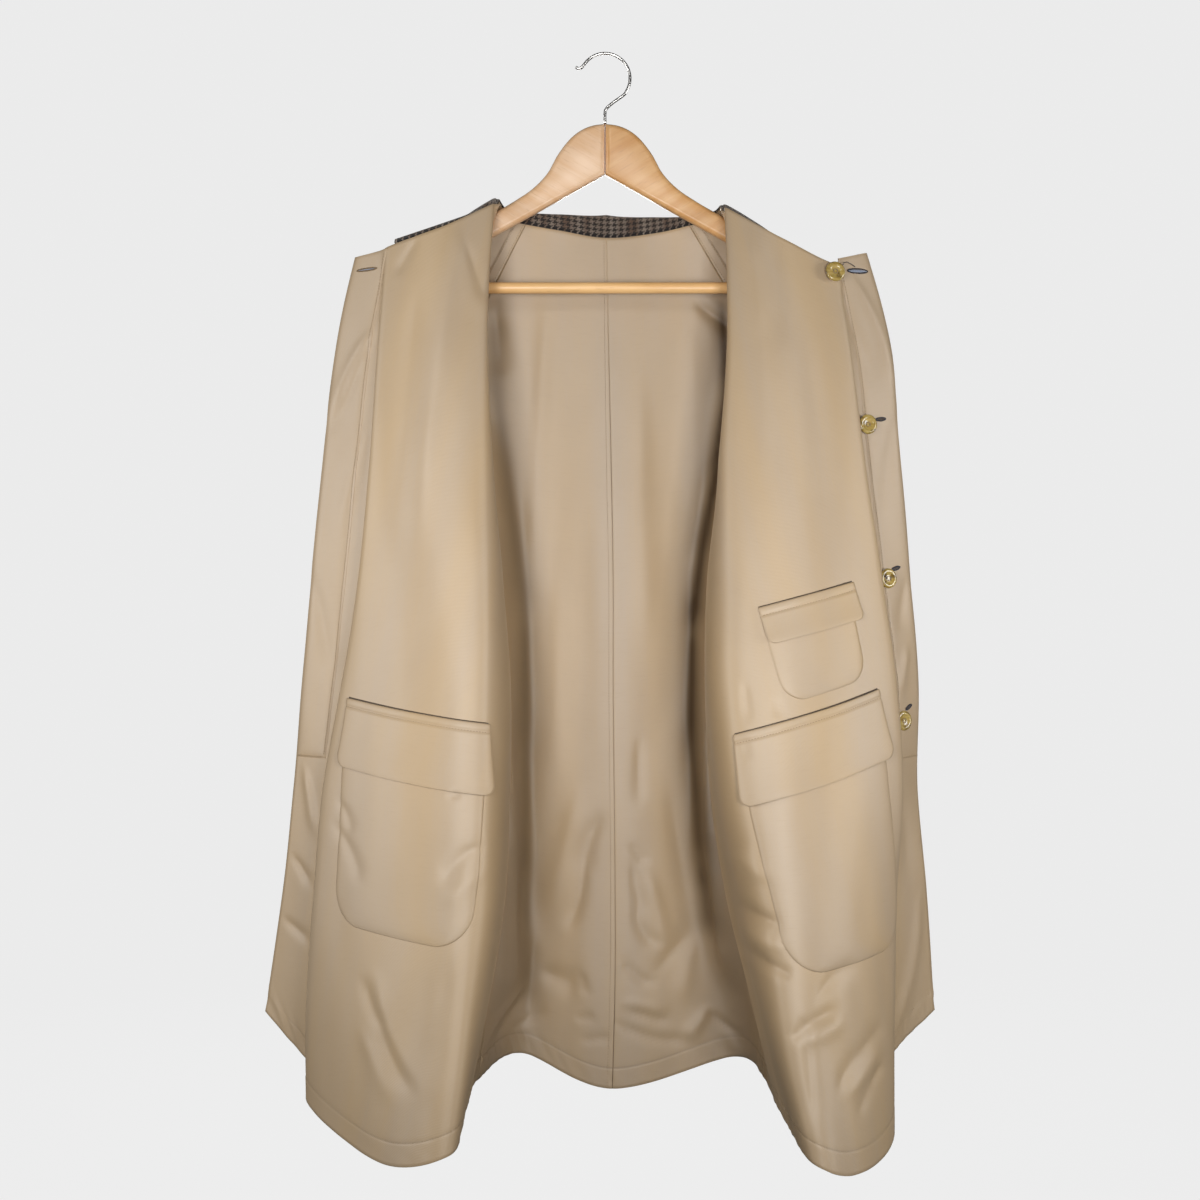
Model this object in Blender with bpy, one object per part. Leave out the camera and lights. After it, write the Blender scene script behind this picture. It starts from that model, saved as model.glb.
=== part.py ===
"""Reversible balmacaan coat, hung wide open on a wooden hanger.

Lengths are metres, +Z is up, and the tables hold millimetres. The origin is the inside top of
the hanger's hook, where a nail or a rail carries it. -Y is the side that the open coat shows, so
the gabardine inside faces -Y, and the tweed outside faces +Y. Both fronts are turned outwards, so
each front is a roll: from the side seam it comes forward to the fold and goes back to its edge.
"""

import math
from collections import namedtuple
from functools import lru_cache

import bmesh
import bpy
import numpy as np
from mathutils import Vector

MM = 0.001

# Cloth
WALL = 2.4 * MM
LAYER = 1.0 * MM
LAYER_GAP = 1.1 * MM
SEAM_GAP = 0.3 * MM
HEM_BAND = 22 * MM
HEM_EXTRA = 0.8 * MM
UNDERARM = -438 * MM
UNDERARM_CLEARANCE = 3.5 * MM
UNDERARM_REACH = 14 * MM
SEAM_TURN = 90 * MM

# Horizontal sections of one half, as (x, y) of each fold at a height, from the front edge to the
# back. The seam has two places above the underarm, where the raglan sleeve parts front and back.
FOLDS = "edge hollow bulge middle fold ridge front_seam back_seam back"
Section = namedtuple("Section", "height " + FOLDS)
LEFT_SECTIONS = (
    Section(-158, (-243, -38), (-228, -46), (-209, -54), (-163, -56), (-121, -31),
            (-118, -24), (-113, -18), (-78, 27), (-45, 34)),
    Section(-298, (-277, -30), (-233, -52), (-224, -68), (-170, -78), (-125, -60),
            (-129, -34), (-152, -22), (-150, 42), (-80, 44)),
    Section(-438, (-295, -26), (-237, -54), (-235, -78), (-174, -97), (-121, -85),
            (-126, -35), (-200, 0), (-200, 0), (-100, 52)),
    Section(-553, (-307, -20), (-248, -52), (-246, -78), (-178, -112), (-117, -108),
            (-112, -35), (-186, 6), (-186, 6), (-93, 56)),
    Section(-668, (-318, -14), (-265, -48), (-263, -76), (-185, -126), (-116, -130),
            (-101, -36), (-168, 8), (-168, 8), (-87, 58)),
    Section(-773, (-327, -10), (-283, -46), (-281, -78), (-192, -140), (-116, -148),
            (-100, -45), (-147, 6), (-147, 6), (-86, 58)),
    Section(-878, (-339, -6), (-292, -44), (-290, -80), (-196, -152), (-119, -165),
            (-103, -60), (-127, 2), (-127, 2), (-86, 58)),
    Section(-990, (-357, 4), (-303, -34), (-299, -76), (-206, -160), (-132, -184),
            (-120, -82), (-126, -8), (-126, -8), (-87, 55)),
    Section(-1108, (-375, 18), (-306, -14), (-300, -68), (-213, -166), (-148, -205),
            (-146, -110), (-136, -20), (-136, -20), (-93, 50)),
)
RIGHT_SECTIONS = (
    Section(-158, (252, -40), (236, -47), (219, -54), (176, -57), (129, -31),
            (126, -24), (121, -18), (82, 27), (47, 34)),
    Section(-298, (293, -32), (249, -54), (241, -70), (188, -80), (131, -60),
            (135, -33), (160, -22), (164, 42), (88, 44)),
    Section(-438, (308, -26), (262, -56), (259, -80), (194, -100), (123, -85),
            (130, -35), (210, 0), (210, 0), (108, 52)),
    Section(-553, (319, -20), (277, -56), (274, -84), (200, -118), (122, -108),
            (112, -37), (192, 6), (192, 6), (103, 56)),
    Section(-668, (329, -14), (291, -56), (288, -88), (204, -136), (121, -130),
            (107, -40), (174, 8), (174, 8), (99, 58)),
    Section(-773, (328, -10), (297, -56), (293, -94), (211, -152), (132, -150),
            (110, -48), (160, 6), (160, 6), (101, 58)),
    Section(-878, (338, -6), (291, -58), (287, -102), (218, -168), (152, -170),
            (124, -60), (150, 2), (150, 2), (108, 58)),
    Section(-990, (347, 4), (290, -56), (284, -114), (222, -184), (168, -192),
            (151, -82), (158, -8), (158, -8), (127, 55)),
    Section(-1108, (357, 18), (293, -40), (281, -130), (232, -200), (194, -215),
            (183, -110), (171, -20), (171, -20), (144, 50)),
)
CENTRE_BACK = ((1, 35), (4, 40), (7, 45), (9, 47), (9, 48), (10, 47), (11, 45), (11, 40), (8, 35))

# Heights of the neckline and of the hem at each fold
Ends = namedtuple("Ends", FOLDS)
LEFT_NECK = Ends(-222, -218, -214, -196, -168, -164.5, -162.5, -173, -178)
LEFT_HEM = Ends(-1015, -1066, -1092, -1116, -1096, -1086, -1080, -1080, -1072)
RIGHT_NECK = Ends(-218, -228, -234, -209, -172, -171, -170, -174, -181)
RIGHT_HEM = Ends(-1013, -1053, -1106, -1115, -1099, -1093, -1078, -1078, -1076)
CENTRE_NECK, CENTRE_HEM = -186, -1106

# Raglan sleeve, left. Each station has its overarm point, then the share of the raglan seam it
# reaches or the underarm point of the tube, and how far the front and back halves stand out.
Station = namedtuple("Station", "overarm seam_share underarm front_out back_out")
SLEEVE_STATIONS = (
    Station((-112, 0, -156), 0.0, None, 5, 14),
    Station((-165, 0, -193.0), 0.2, None, 22, 24),
    Station((-216, -1, -227.0), 0.45, None, 28, 34),
    Station((-258, -6, -296), 0.73, None, 30, 52),
    Station((-272, -6, -408), 1.0, (-200, 0, -438), 44, 70),
    Station((-270, -6, -480), None, (-207, -8, -492), 46, 76),
    Station((-262, -12, -570), None, (-204, -16, -570), 46, 84),
    Station((-253, -30, -700), None, (-188, -28, -700), 46, 88),
    Station((-272, -44, -862), None, (-192, -46, -862), 60, 92),
)
UNDERARM_STATION = 4
MIRROR_X = 10 * MM
RIGHT_SHOULDER_DROP = (-6.5, -6.5, -6.5, -3, 0, 0, 0, 0, 0)

# Collar, left. Each station has its place on the neckline, how far the stand rises and leans, its
# outward direction in plan, the height of the turned-over side and the point where the leaf ends.
CollarStation = namedtuple("CollarStation", "place rise lean outward turn leaf_end")
COLLAR_STATIONS = (
    CollarStation(0, 3.5, 3, (0.1, 1), 0, (-219, -44, -270)),
    CollarStation(1, 3, 3, (-0.1, 1), 0, (-172, -46, -254)),
    CollarStation(2, 0, 4, (-1, 0.1), -2, (-152, -46, -226)),
    CollarStation(4, 0, 3, (-1, -0.3), -0.5, (-154, -36, -210)),
    CollarStation(5, 0, 3, (-1, 0), 0, (-170, 0, -184)),
    CollarStation(5.5, 4, 4, (-0.85, 0.5), 3, (-153, 31, -196)),
    CollarStation(6, 10, 4, (-0.6, 0.8), 7, (-126, 52, -226)),
    CollarStation(7, 17, 11, (-0.15, 1), 14, (-62, 60, -244)),
    CollarStation(8, 25, 15, (0, 1), 22, (3, 61, -252)),
)
RIGHT_RISES = {0: -4, 1: -4, 2: -3, 6: 8}
RIGHT_TUCKS = {0: 1, 1: 1, 2: 1, 4: 0.4}
NECK_GAP = 1.9 * MM
COLLAR_TURN = 5 * MM
TUCK_DROP = 4 * MM

# Pockets and flaps: place on the turned-out front as the distance from the fold and the height of
# the top middle, then the tilt of the top, the lean of the sides, how much the sides spread, the
# width at the top, the depth, the corner, the layer it lies on and the lift of its lower edge.
Patch = namedtuple("Patch", "side from_fold height tilt lean spread width depth corner layer lift")
PATCHES = {
    "hip_pocket_left": Patch("left", 81, -696, -5, 3, 0, 164, 208, 36, 0, 0.5),
    "hip_flap_left": Patch("left", 78, -688, -8, 3, 0.1, 162, 68, 12, 1, 5),
    "hip_pocket_right": Patch("right", 84, -704, 5, 3, 0, 160, 222, 38, 0, 1.2),
    "hip_flap_right": Patch("right", 82, -688, 15, 5, 0.1, 164, 68, 12, 1, 5),
    "chest_pocket": Patch("right", 78, -576, 15, 15, 0, 94, 94, 22, 0, 0),
    "chest_flap": Patch("right", 80, -573, 15, 17, 0, 101, 38, 7, 1, 2),
}

# Fly strips along the front edges, and tapes along the back raglan seams
FLY_WIDTH = 44 * MM
FLY_EDGE = 1.5 * MM
FLY_END = -742 * MM
TAPE_WIDTH = 12 * MM

# Buttons: height and distance from the right front edge
Button = namedtuple("Button", "height from_edge")
BUTTONS = (Button(-237, 58), Button(-398, 45), Button(-556, 43), Button(-702, 44))
BUTTON_FACING = 0.6
BUTTON_RADIUS = 10.2
BUTTON_THICKNESS = 4.2
SHANK_RADIUS, SHANK_HEIGHT = 2.4, 3.6

# Hanger
HOOK_WIRE = 1.6 * MM
HOOK_RADIUS = 26.5 * MM
ARM_HALF_DEPTH = 7 * MM
ARM_ROUNDING = 5 * MM
ARM_TOP = (
    (0, -74), (12, -75.5), (23, -79.5), (37, -90), (46, -101), (52.5, -111), (58, -122), (66, -132.5),
    (77, -143), (93, -154), (122, -171), (165, -196), (200, -219), (216, -232.5),
)
ARM_END = ((221, -240), (221, -258))
ARM_UNDER = ((186, -258), (186, -229), (160, -217), (122, -195), (66, -164), (0, -127))
BAR_RADIUS = 6 * MM
BAR_HEIGHT = -247 * MM

COLOURS = {
    "gabardine": ((0.40, 0.30, 0.19), 0.75, 0.0),
    "tweed": ((0.09, 0.07, 0.055), 0.9, 0.0),
    "horn": ((0.30, 0.20, 0.05), 0.3, 0.0),
    "beech": ((0.62, 0.36, 0.15), 0.4, 0.0),
    "wire": ((0.62, 0.60, 0.57), 0.25, 1.0),
}


def clear_scene():
    for old in list(bpy.data.objects):
        bpy.data.objects.remove(old)


def material(name):
    made = bpy.data.materials.get(name) or bpy.data.materials.new(name)
    made.use_nodes = True
    colour, roughness, metallic = COLOURS[name]
    shader = made.node_tree.nodes["Principled BSDF"]
    shader.inputs["Base Color"].default_value = (*colour, 1)
    shader.inputs["Roughness"].default_value = roughness
    shader.inputs["Metallic"].default_value = metallic
    return made


def add_object(name, data, finish, collection):
    made = bpy.data.objects.new(name, data)
    data.materials.append(material(finish))
    collection.objects.link(made)
    return made


# Curves through table points


def smooth(knots, values, at):
    """Cubic curve through values at ascending knots, with central differences as its slopes."""
    values = np.asarray(values, float)
    slopes = np.gradient(values, knots, axis=0)
    i = int(np.clip(np.searchsorted(knots, at) - 1, 0, len(knots) - 2))
    span = knots[i + 1] - knots[i]
    t = (at - knots[i]) / span
    return (
        (1 + 2 * t) * (1 - t) ** 2 * values[i]
        + t * (1 - t) ** 2 * span * slopes[i]
        + t * t * (3 - 2 * t) * values[i + 1]
        + t * t * (t - 1) * span * slopes[i + 1]
    )


def ease(share):
    share = min(1.0, max(0.0, share))
    return share * share * (3 - 2 * share)


def unit(vector):
    return vector / max(np.linalg.norm(vector), 1e-9)


# Body panels


SIDES = {
    "left": (LEFT_SECTIONS, LEFT_NECK, LEFT_HEM),
    "right": (RIGHT_SECTIONS, RIGHT_NECK, RIGHT_HEM),
}
OTHER = {"left": "right", "right": "left", "front": "back", "back": "front"}
FRONT_FOLDS = ("edge", "hollow", "bulge", "middle", "fold", "ridge", "front_seam")
FOLD_PLACE = FRONT_FOLDS.index("fold")
SEAM_PLACE = FRONT_FOLDS.index("front_seam")
COLLAR_START = FRONT_FOLDS.index("bulge")
BACK_CENTRE = 2


@lru_cache(maxsize=None)
def fold_line(side, fold, z):
    """(x, y) of one fold of one half at a height. A seam has a corner at the underarm."""
    rows = SIDES[side][0]
    places = CENTRE_BACK if fold == "centre" else [getattr(row, fold) for row in rows]
    heights = np.array([row.height for row in rows])[::-1] * MM
    points = np.array(places, float)[::-1] * MM
    if fold.endswith("seam"):
        kept = heights >= UNDERARM if z > UNDERARM else heights <= UNDERARM
        heights, points = heights[kept], points[kept]
    return smooth(heights, points, z)


def past_seam(side, seam, own, other, z):
    """The point after a seam: the cloth runs straight on above the underarm, and turns below it."""
    turned = ease((UNDERARM - z) / SEAM_TURN)
    straight = 2 * fold_line(side, seam, z) - fold_line(side, own, z)
    return (1 - turned) * straight + turned * fold_line(side, other, z)


def front_point(side, u, z):
    """The middle of the front's wall: u runs from 0 at the front edge to 6 at the side seam."""
    folds = [fold_line(side, fold, z) for fold in FRONT_FOLDS]
    folds.append(past_seam(side, "front_seam", "ridge", "back", z))
    return np.append(smooth(np.arange(len(folds)), folds, u), z)


def back_point(side, u, z):
    """The middle of the back's wall: u runs from 0 at the side seam to 2 at the centre back."""
    folds = [past_seam(side, "back_seam", "back", "ridge", z)]
    folds += [fold_line(side, fold, z) for fold in ("back_seam", "back", "centre")]
    folds.append(fold_line(OTHER[side], "back", z))
    return np.append(smooth(np.arange(len(folds)), folds, u + 1), z)


def inside_normal(point, side, u, z, step=0.004):
    """Unit normal of a body panel on its gabardine side. The right half runs the other way round."""
    along = point(side, u + step, z) - point(side, u - step, z)
    rise = point(side, u, z + step) - point(side, u, z - step)
    return unit(np.cross(along, rise)) * (1 if side == "left" else -1)


def front_ends(side, u):
    """Heights of a front's neckline and hem."""
    return [
        smooth(np.arange(len(FRONT_FOLDS)), [getattr(table, fold) * MM for fold in FRONT_FOLDS], u)
        for table in SIDES[side][1:]
    ]


def back_ends(side, u):
    """Heights of the back's neckline and hem."""
    ends = []
    own, other = SIDES[side][1:], SIDES[OTHER[side]][1:]
    for table, twin, centre in zip(own, other, (CENTRE_NECK, CENTRE_HEM)):
        heights = [table.back_seam, table.back, centre, twin.back, twin.back_seam]
        ends.append(smooth(np.arange(5), np.array(heights) * MM, u))
    return ends


def panel_height(ends, side, u, v):
    top, bottom = ends(side, u)
    return top + (bottom - top) * v


def underarm_share(ends, side, u):
    """Share of a panel's length at which its seam reaches the underarm."""
    top, bottom = ends(side, u)
    return (UNDERARM - top) / (bottom - top)


# Raglan sleeve


STATION_PLACES = np.arange(len(SLEEVE_STATIONS))
BODY_SEAMS = {"front": (front_point, front_ends, SEAM_PLACE), "back": (back_point, back_ends, 0)}


def mirrored(point, side):
    """A left-hand point, or its twin on the right."""
    return point if side == "left" else np.array([MIRROR_X - point[0], *point[1:]])


def seam_share(t):
    shares = [row.seam_share for row in SLEEVE_STATIONS[: UNDERARM_STATION + 1]]
    return float(smooth(STATION_PLACES[: UNDERARM_STATION + 1], shares, t))


def raglan_height(side, half, t):
    _, ends, u = BODY_SEAMS[half]
    return panel_height(ends, side, u, seam_share(t) * underarm_share(ends, side, u))


def sleeve_seam(side, half, t):
    """Where the sleeve's half meets the body, and below the underarm its underarm seam."""
    if t < UNDERARM_STATION:
        z = raglan_height(side, half, t)
        return np.append(fold_line(side, f"{half}_seam", z), z)
    rows = SLEEVE_STATIONS[UNDERARM_STATION:]
    places = STATION_PLACES[UNDERARM_STATION:]
    return mirrored(smooth(places, np.array([row.underarm for row in rows]) * MM, t), side)


def sleeve_point(side, half, w, t):
    """The middle of the sleeve's wall: w runs from 0 at the overarm to 1 at the body or underarm."""
    overarms = np.array([row.overarm for row in SLEEVE_STATIONS]) * MM
    overarm = mirrored(smooth(STATION_PLACES, overarms, t), side)
    if side == "right":
        overarm[2] += smooth(STATION_PLACES, np.array(RIGHT_SHOULDER_DROP) * MM, t)
    seam = sleeve_seam(side, half, t)
    outs = [row.front_out if half == "front" else row.back_out for row in SLEEVE_STATIONS]
    reach = smooth(STATION_PLACES, np.array(outs) * MM, t)
    out = np.array([0, -reach if half == "front" else reach, 0])
    start, end = overarm + out, seam + out
    if t < UNDERARM_STATION:
        inward = fold_line(side, "ridge" if half == "front" else "back", seam[2]) - seam[:2]
        straight = seam - np.append(unit(inward), 0) * reach
        end = straight + (end - straight) * ease(seam_share(t))
    near, far = 3 * w * (1 - w) ** 2, 3 * w * w * (1 - w)
    return (1 - w) ** 3 * overarm + near * start + far * end + w**3 * seam


def sleeve_normal(side, half, w, t, step=0.01):
    """Unit normal of the sleeve on its gabardine side."""
    w = min(1 - step, max(step, w))
    along = sleeve_point(side, half, w + step, t) - sleeve_point(side, half, w - step, t)
    low, high = max(t - step, 0), min(t + step, STATION_PLACES[-1])
    down = sleeve_point(side, half, w, high) - sleeve_point(side, half, w, low)
    turn = 1 if (half == "front") == (side == "left") else -1
    return unit(np.cross(along, down)) * turn


# Shared planes at seams, so that two walls end side by side


def mitre(own, other):
    shared = unit(own + other)
    return shared / max(0.4, float(shared @ own))


def body_seam_normal(side, half, v_share, z):
    """The direction in which a body panel is thickened at its seam."""
    point, _, u = BODY_SEAMS[half]
    twin_point, _, twin_u = BODY_SEAMS[OTHER[half]]
    own = inside_normal(point, side, u, z)
    if v_share < 1:
        places = np.linspace(0, UNDERARM_STATION, 80)
        t = float(np.interp(v_share, [seam_share(place) for place in places], places))
        return mitre(own, sleeve_normal(side, half, 1, t))
    return mitre(own, inside_normal(twin_point, side, twin_u, z))


def sleeve_seam_normal(side, half, t):
    own = sleeve_normal(side, half, 1, t)
    if t < UNDERARM_STATION:
        point, _, u = BODY_SEAMS[half]
        return mitre(own, inside_normal(point, side, u, raglan_height(side, half, t)))
    return mitre(own, sleeve_normal(side, OTHER[half], 1, t))


def seam_inset(z):
    """Half the seam's gap, wider at the underarm, where four pieces meet."""
    return SEAM_GAP / 2 + UNDERARM_CLEARANCE * math.exp(-(((z - UNDERARM) / UNDERARM_REACH) ** 2))


# Walls


RAGLAN_ROWS = np.linspace(0, UNDERARM_STATION, 11)
SKIRT_ROWS = 14
WALLS = {}


def wall(name, columns, rows, place, finish, collection):
    """A closed wall over a grid: place(u, v) gives its middle, inside normal and two half walls."""
    across, down = len(columns) - 1, len(rows) - 1
    places = {(i, j): place(u, v) for i, u in enumerate(columns) for j, v in enumerate(rows)}
    mesh = bmesh.new()
    bmesh.ops.create_grid(mesh, x_segments=across, y_segments=down, size=0.5)
    column = mesh.verts.layers.int.new("column")
    row = mesh.verts.layers.int.new("row")
    for vert in mesh.verts:
        vert[column] = round((vert.co.x + 0.5) * across)
        vert[row] = round((vert.co.y + 0.5) * down)
    grown = bmesh.ops.extrude_face_region(mesh, geom=mesh.faces[:], use_keep_orig=True)
    outer = {item for item in grown["geom"] if isinstance(item, bmesh.types.BMVert)}
    for vert in mesh.verts:
        middle, normal, inner_half, outer_half = places[vert[column], vert[row]]
        vert.co = middle - normal * outer_half if vert in outer else middle + normal * inner_half
    bmesh.ops.recalc_face_normals(mesh, faces=mesh.faces[:])
    data = bpy.data.meshes.new(name)
    mesh.to_mesh(data)
    mesh.free()
    data.shade_smooth()
    WALLS[name] = (np.array(columns, float), np.array(rows, float), places)
    return add_object(name, data, finish, collection)


def on_wall(name, u, v, height, flat=False):
    """A point over a wall's gabardine side, taken between the wall's own points, and its normal.

    The normal is blended from those points, or is that of the flat face between them.
    """
    columns, rows, places = WALLS[name]
    i = int(np.clip(np.searchsorted(columns, u) - 1, 0, len(columns) - 2))
    j = int(np.clip(np.searchsorted(rows, v) - 1, 0, len(rows) - 2))
    a = (u - columns[i]) / (columns[i + 1] - columns[i])
    b = (v - rows[j]) / (rows[j + 1] - rows[j])
    surface, normal = np.zeros(3), np.zeros(3)
    for di, dj in ((0, 0), (1, 0), (0, 1), (1, 1)):
        weight = (a if di else 1 - a) * (b if dj else 1 - b)
        middle, own, inner_half, _ = places[i + di, j + dj]
        surface += weight * (middle + own * inner_half)
        normal += weight * unit(own)
    if flat:
        corners = [places[i + di, j + dj][0] for di, dj in ((0, 0), (1, 1), (1, 0), (0, 1))]
        across = np.cross(corners[1] - corners[0], corners[3] - corners[2])
        normal = across * math.copysign(1, float(across @ normal))
    normal = unit(normal)
    return surface + normal * height, normal


def body_rows(side, half):
    """Rows of a body panel: the sleeve's own rows down to the underarm, then even ones to the hem."""
    _, ends, u = BODY_SEAMS[half]
    top, bottom = ends(side, u)
    share = underarm_share(ends, side, u)
    band = 1 - HEM_BAND / (top - bottom)
    raglan = [seam_share(t) * share for t in RAGLAN_ROWS]
    return [*raglan, *np.linspace(share, band - 0.003, SKIRT_ROWS + 1)[1:], band, 1.0], share


def body_panel(side, half, columns, collection):
    point_at, ends, seam_u = BODY_SEAMS[half]
    rows, share = body_rows(side, half)
    band = rows[-2]

    def place(u, v):
        z = panel_height(ends, side, u, v)
        point = point_at(side, u, z)
        normal = inside_normal(point_at, side, u, z)
        if abs(u - seam_u) < 1e-6:
            inward = unit(point_at(side, u + (0.02 if half == "back" else -0.02), z) - point)
            normal = body_seam_normal(side, half, v / share, z)
            point = point + inward * seam_inset(z)
        elif half == "back" and u > BACK_CENTRE - 1e-6:
            point = point + unit(point_at(side, u - 0.02, z) - point) * SEAM_GAP / 2
        hem = HEM_EXTRA if v > band - 1e-6 else 0
        return point, normal, WALL / 2 + hem, WALL / 2

    wall(f"{half}_{side}", columns, rows, place, "gabardine", collection)


def even_columns(counts):
    """Columns with a count of steps between each fold and the next."""
    columns = [0.0]
    for place, count in enumerate(counts):
        columns += [place + (k + 1) / count for k in range(count)]
    return columns


def sleeve_panel(side, half, collection):
    def place(w, t):
        point = sleeve_point(side, half, w, t)
        normal = sleeve_normal(side, half, w, t)
        if w > 1 - 1e-6:
            normal = sleeve_seam_normal(side, half, t)
            point = point + unit(sleeve_point(side, half, 0.97, t) - point) * seam_inset(point[2])
        elif w < 1e-6:
            normal = mitre(normal, sleeve_normal(side, OTHER[half], 0, t))
            point = point + unit(sleeve_point(side, half, 0.03, t) - point) * SEAM_GAP / 2
        return point, normal, WALL / 2, WALL / 2

    rows = [*RAGLAN_ROWS, *np.linspace(UNDERARM_STATION, STATION_PLACES[-1], 9)[1:]]
    wall(f"sleeve_{side}_{half}", np.linspace(0, 1, 7), rows, place, "tweed", collection)


# Pieces that lie on a front


@lru_cache(maxsize=None)
def front_lengths(side, z):
    """Length along the cloth from the front edge at a height, sampled over u."""
    places = np.linspace(0, SEAM_PLACE, 61)
    points = np.array([front_point(side, u, z) for u in places])
    steps = np.linalg.norm(np.diff(points, axis=0), axis=1)
    return places, np.concatenate([[0], np.cumsum(steps)])


def on_front(side, z, height, from_edge=None, from_fold=None):
    """A point over a front, at a length from its front edge, or from its fold towards that edge."""
    places, lengths = front_lengths(side, z)
    if from_edge is None:
        from_edge = float(np.interp(FOLD_PLACE, places, lengths)) - from_fold
    u = float(np.interp(from_edge, lengths, places))
    top, bottom = front_ends(side, u)
    return on_wall(f"front_{side}", u, (z - top) / (bottom - top), height)


def patch_half_width(patch, down):
    """Half the width of a patch at a distance down from its top, with round lower corners."""
    half, corner = patch.width / 2 + patch.spread * down, patch.corner
    into = down - (patch.depth - corner)
    if into <= 0:
        return half
    return half - corner + math.sqrt(max(0.0, corner**2 - into**2))


def patch_piece(name, patch, collection):
    tilt, lean = math.radians(patch.tilt), math.radians(patch.lean)
    outward = 1 if patch.side == "right" else -1
    base = LAYER_GAP + patch.layer * (LAYER + LAYER_GAP) + LAYER / 2

    def place(across, down_share):
        down = down_share * patch.depth
        aside = across * patch_half_width(patch, down)
        from_fold = (patch.from_fold + outward * aside * math.cos(tilt) + down * math.sin(lean)) * MM
        z = (patch.height + aside * math.sin(tilt) - down * math.cos(lean)) * MM
        lift = patch.lift * MM * down_share**2
        point, normal = on_front(patch.side, z, base + lift, from_fold=from_fold)
        return point, normal, LAYER / 2, LAYER / 2

    straight = (patch.depth - patch.corner) / patch.depth
    rows = [*np.linspace(0, straight, max(2, round(patch.depth / 18)))]
    rows += [straight + (1 - straight) * math.sin(a) for a in np.linspace(0, math.pi / 2, 4)[1:]]
    columns = np.linspace(-1, 1, max(6, round(patch.width / 12)) + 1)
    wall(name, columns, rows, place, "gabardine", collection)


def fly_strip(side, collection):
    def place(share, v):
        from_edge = FLY_EDGE + share * (FLY_WIDTH - FLY_EDGE)
        top = front_ends(side, share)[0] - SEAM_GAP
        z = top + (FLY_END - top) * v
        point, normal = on_front(side, z, LAYER_GAP + LAYER / 2, from_edge=from_edge)
        return point, normal, LAYER / 2, LAYER / 2

    wall(f"fly_{side}", np.linspace(0, 1, 5), np.linspace(0, 1, 16), place, "gabardine", collection)


def raglan_tape(side, collection):
    """A flat tape on the inside of the sleeve, along its back raglan seam."""
    name = f"sleeve_{side}_back"
    columns = WALLS[name][0]

    def place(share, t):
        seam, inner = (sleeve_point(side, "back", w, t) for w in (1, columns[-2]))
        cell = np.linalg.norm(inner - seam)
        reach = min(0.95, 0.03 + share * TAPE_WIDTH / cell)
        w = 1 - reach * (1 - columns[-2])
        gap = LAYER_GAP * (1 + t / 2)
        point, normal = on_wall(name, w, t, gap + LAYER / 2, flat=True)
        return point, normal, LAYER / 2, LAYER / 2

    wall(f"raglan_tape_{side}", (0, 1), RAGLAN_ROWS[:-1], place, "gabardine", collection)


# Collar


def neck_point(side, s):
    """The neckline from the front's bulge (0) over the raglan seams (4, 6) to the centre back (8)."""
    if s <= 4:
        u = COLLAR_START + s
        return front_point(side, u, front_ends(side, u)[0])
    if s <= 6:
        return sleeve_point(side, "front" if s < 5 else "back", abs(s - 5), 0)
    return back_point(side, s - 6, back_ends(side, s - 6)[0])


def collar_profile(side, s):
    """Points of the collar's middle, from the neck seam over the crest to the leaf's edge."""
    knots = [station.place for station in COLLAR_STATIONS]

    def column(values):
        return smooth(knots, values, s)

    rises, tucks = (RIGHT_RISES, RIGHT_TUCKS) if side == "right" else ({}, {})
    rise = column([rises.get(row.place, row.rise) for row in COLLAR_STATIONS]) * MM
    tuck = column([tucks.get(row.place, 0) for row in COLLAR_STATIONS])
    lean = column([row.lean for row in COLLAR_STATIONS]) * MM
    turn = column([row.turn - row.rise for row in COLLAR_STATIONS]) * MM
    outward = np.append(unit(column([row.outward for row in COLLAR_STATIONS])), 0)
    end = mirrored(column([row.leaf_end for row in COLLAR_STATIONS]) * MM, side)
    outward[0] *= 1 if side == "left" else -1
    up = np.array([0, 0, 1.0])
    neck = neck_point(side, s) + tuck * (outward * (WALL + NECK_GAP) - up * TUCK_DROP)
    seat = neck + up * (NECK_GAP + WALL / 2 * lean / math.hypot(lean, rise))
    crest = seat + up * (rise + tuck * TUCK_DROP) + outward * lean
    turned = crest + up * turn + outward * COLLAR_TURN
    belly = (turned + end) / 2 + outward * COLLAR_TURN / 2
    return [seat, (seat + crest) / 2 + up * MM / 2, crest, turned, belly, end]


def collar(collection):
    places = np.linspace(0, 8, 17)
    left = [collar_profile("left", s) for s in places]
    right = [collar_profile("right", s) for s in places[-2::-1]]
    profiles = np.array(left + right)
    stations, points = np.arange(len(profiles)), np.arange(len(profiles[0]))

    def surface(s, p):
        return smooth(points, smooth(stations, profiles, s), p)

    def place(s, p):
        step = 0.05
        along = surface(min(s + step, stations[-1]), p) - surface(max(s - step, 0), p)
        down = surface(s, min(p + step, points[-1])) - surface(s, max(p - step, 0))
        return surface(s, p), unit(np.cross(along, down)), WALL / 2, WALL / 2

    rows = [0, 0.7, 1.4, 1.8, 2.2, 2.6, 3, 3.5, 4.2, 5]
    wall("collar", stations, rows, place, "tweed", collection)


# Buttons


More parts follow.
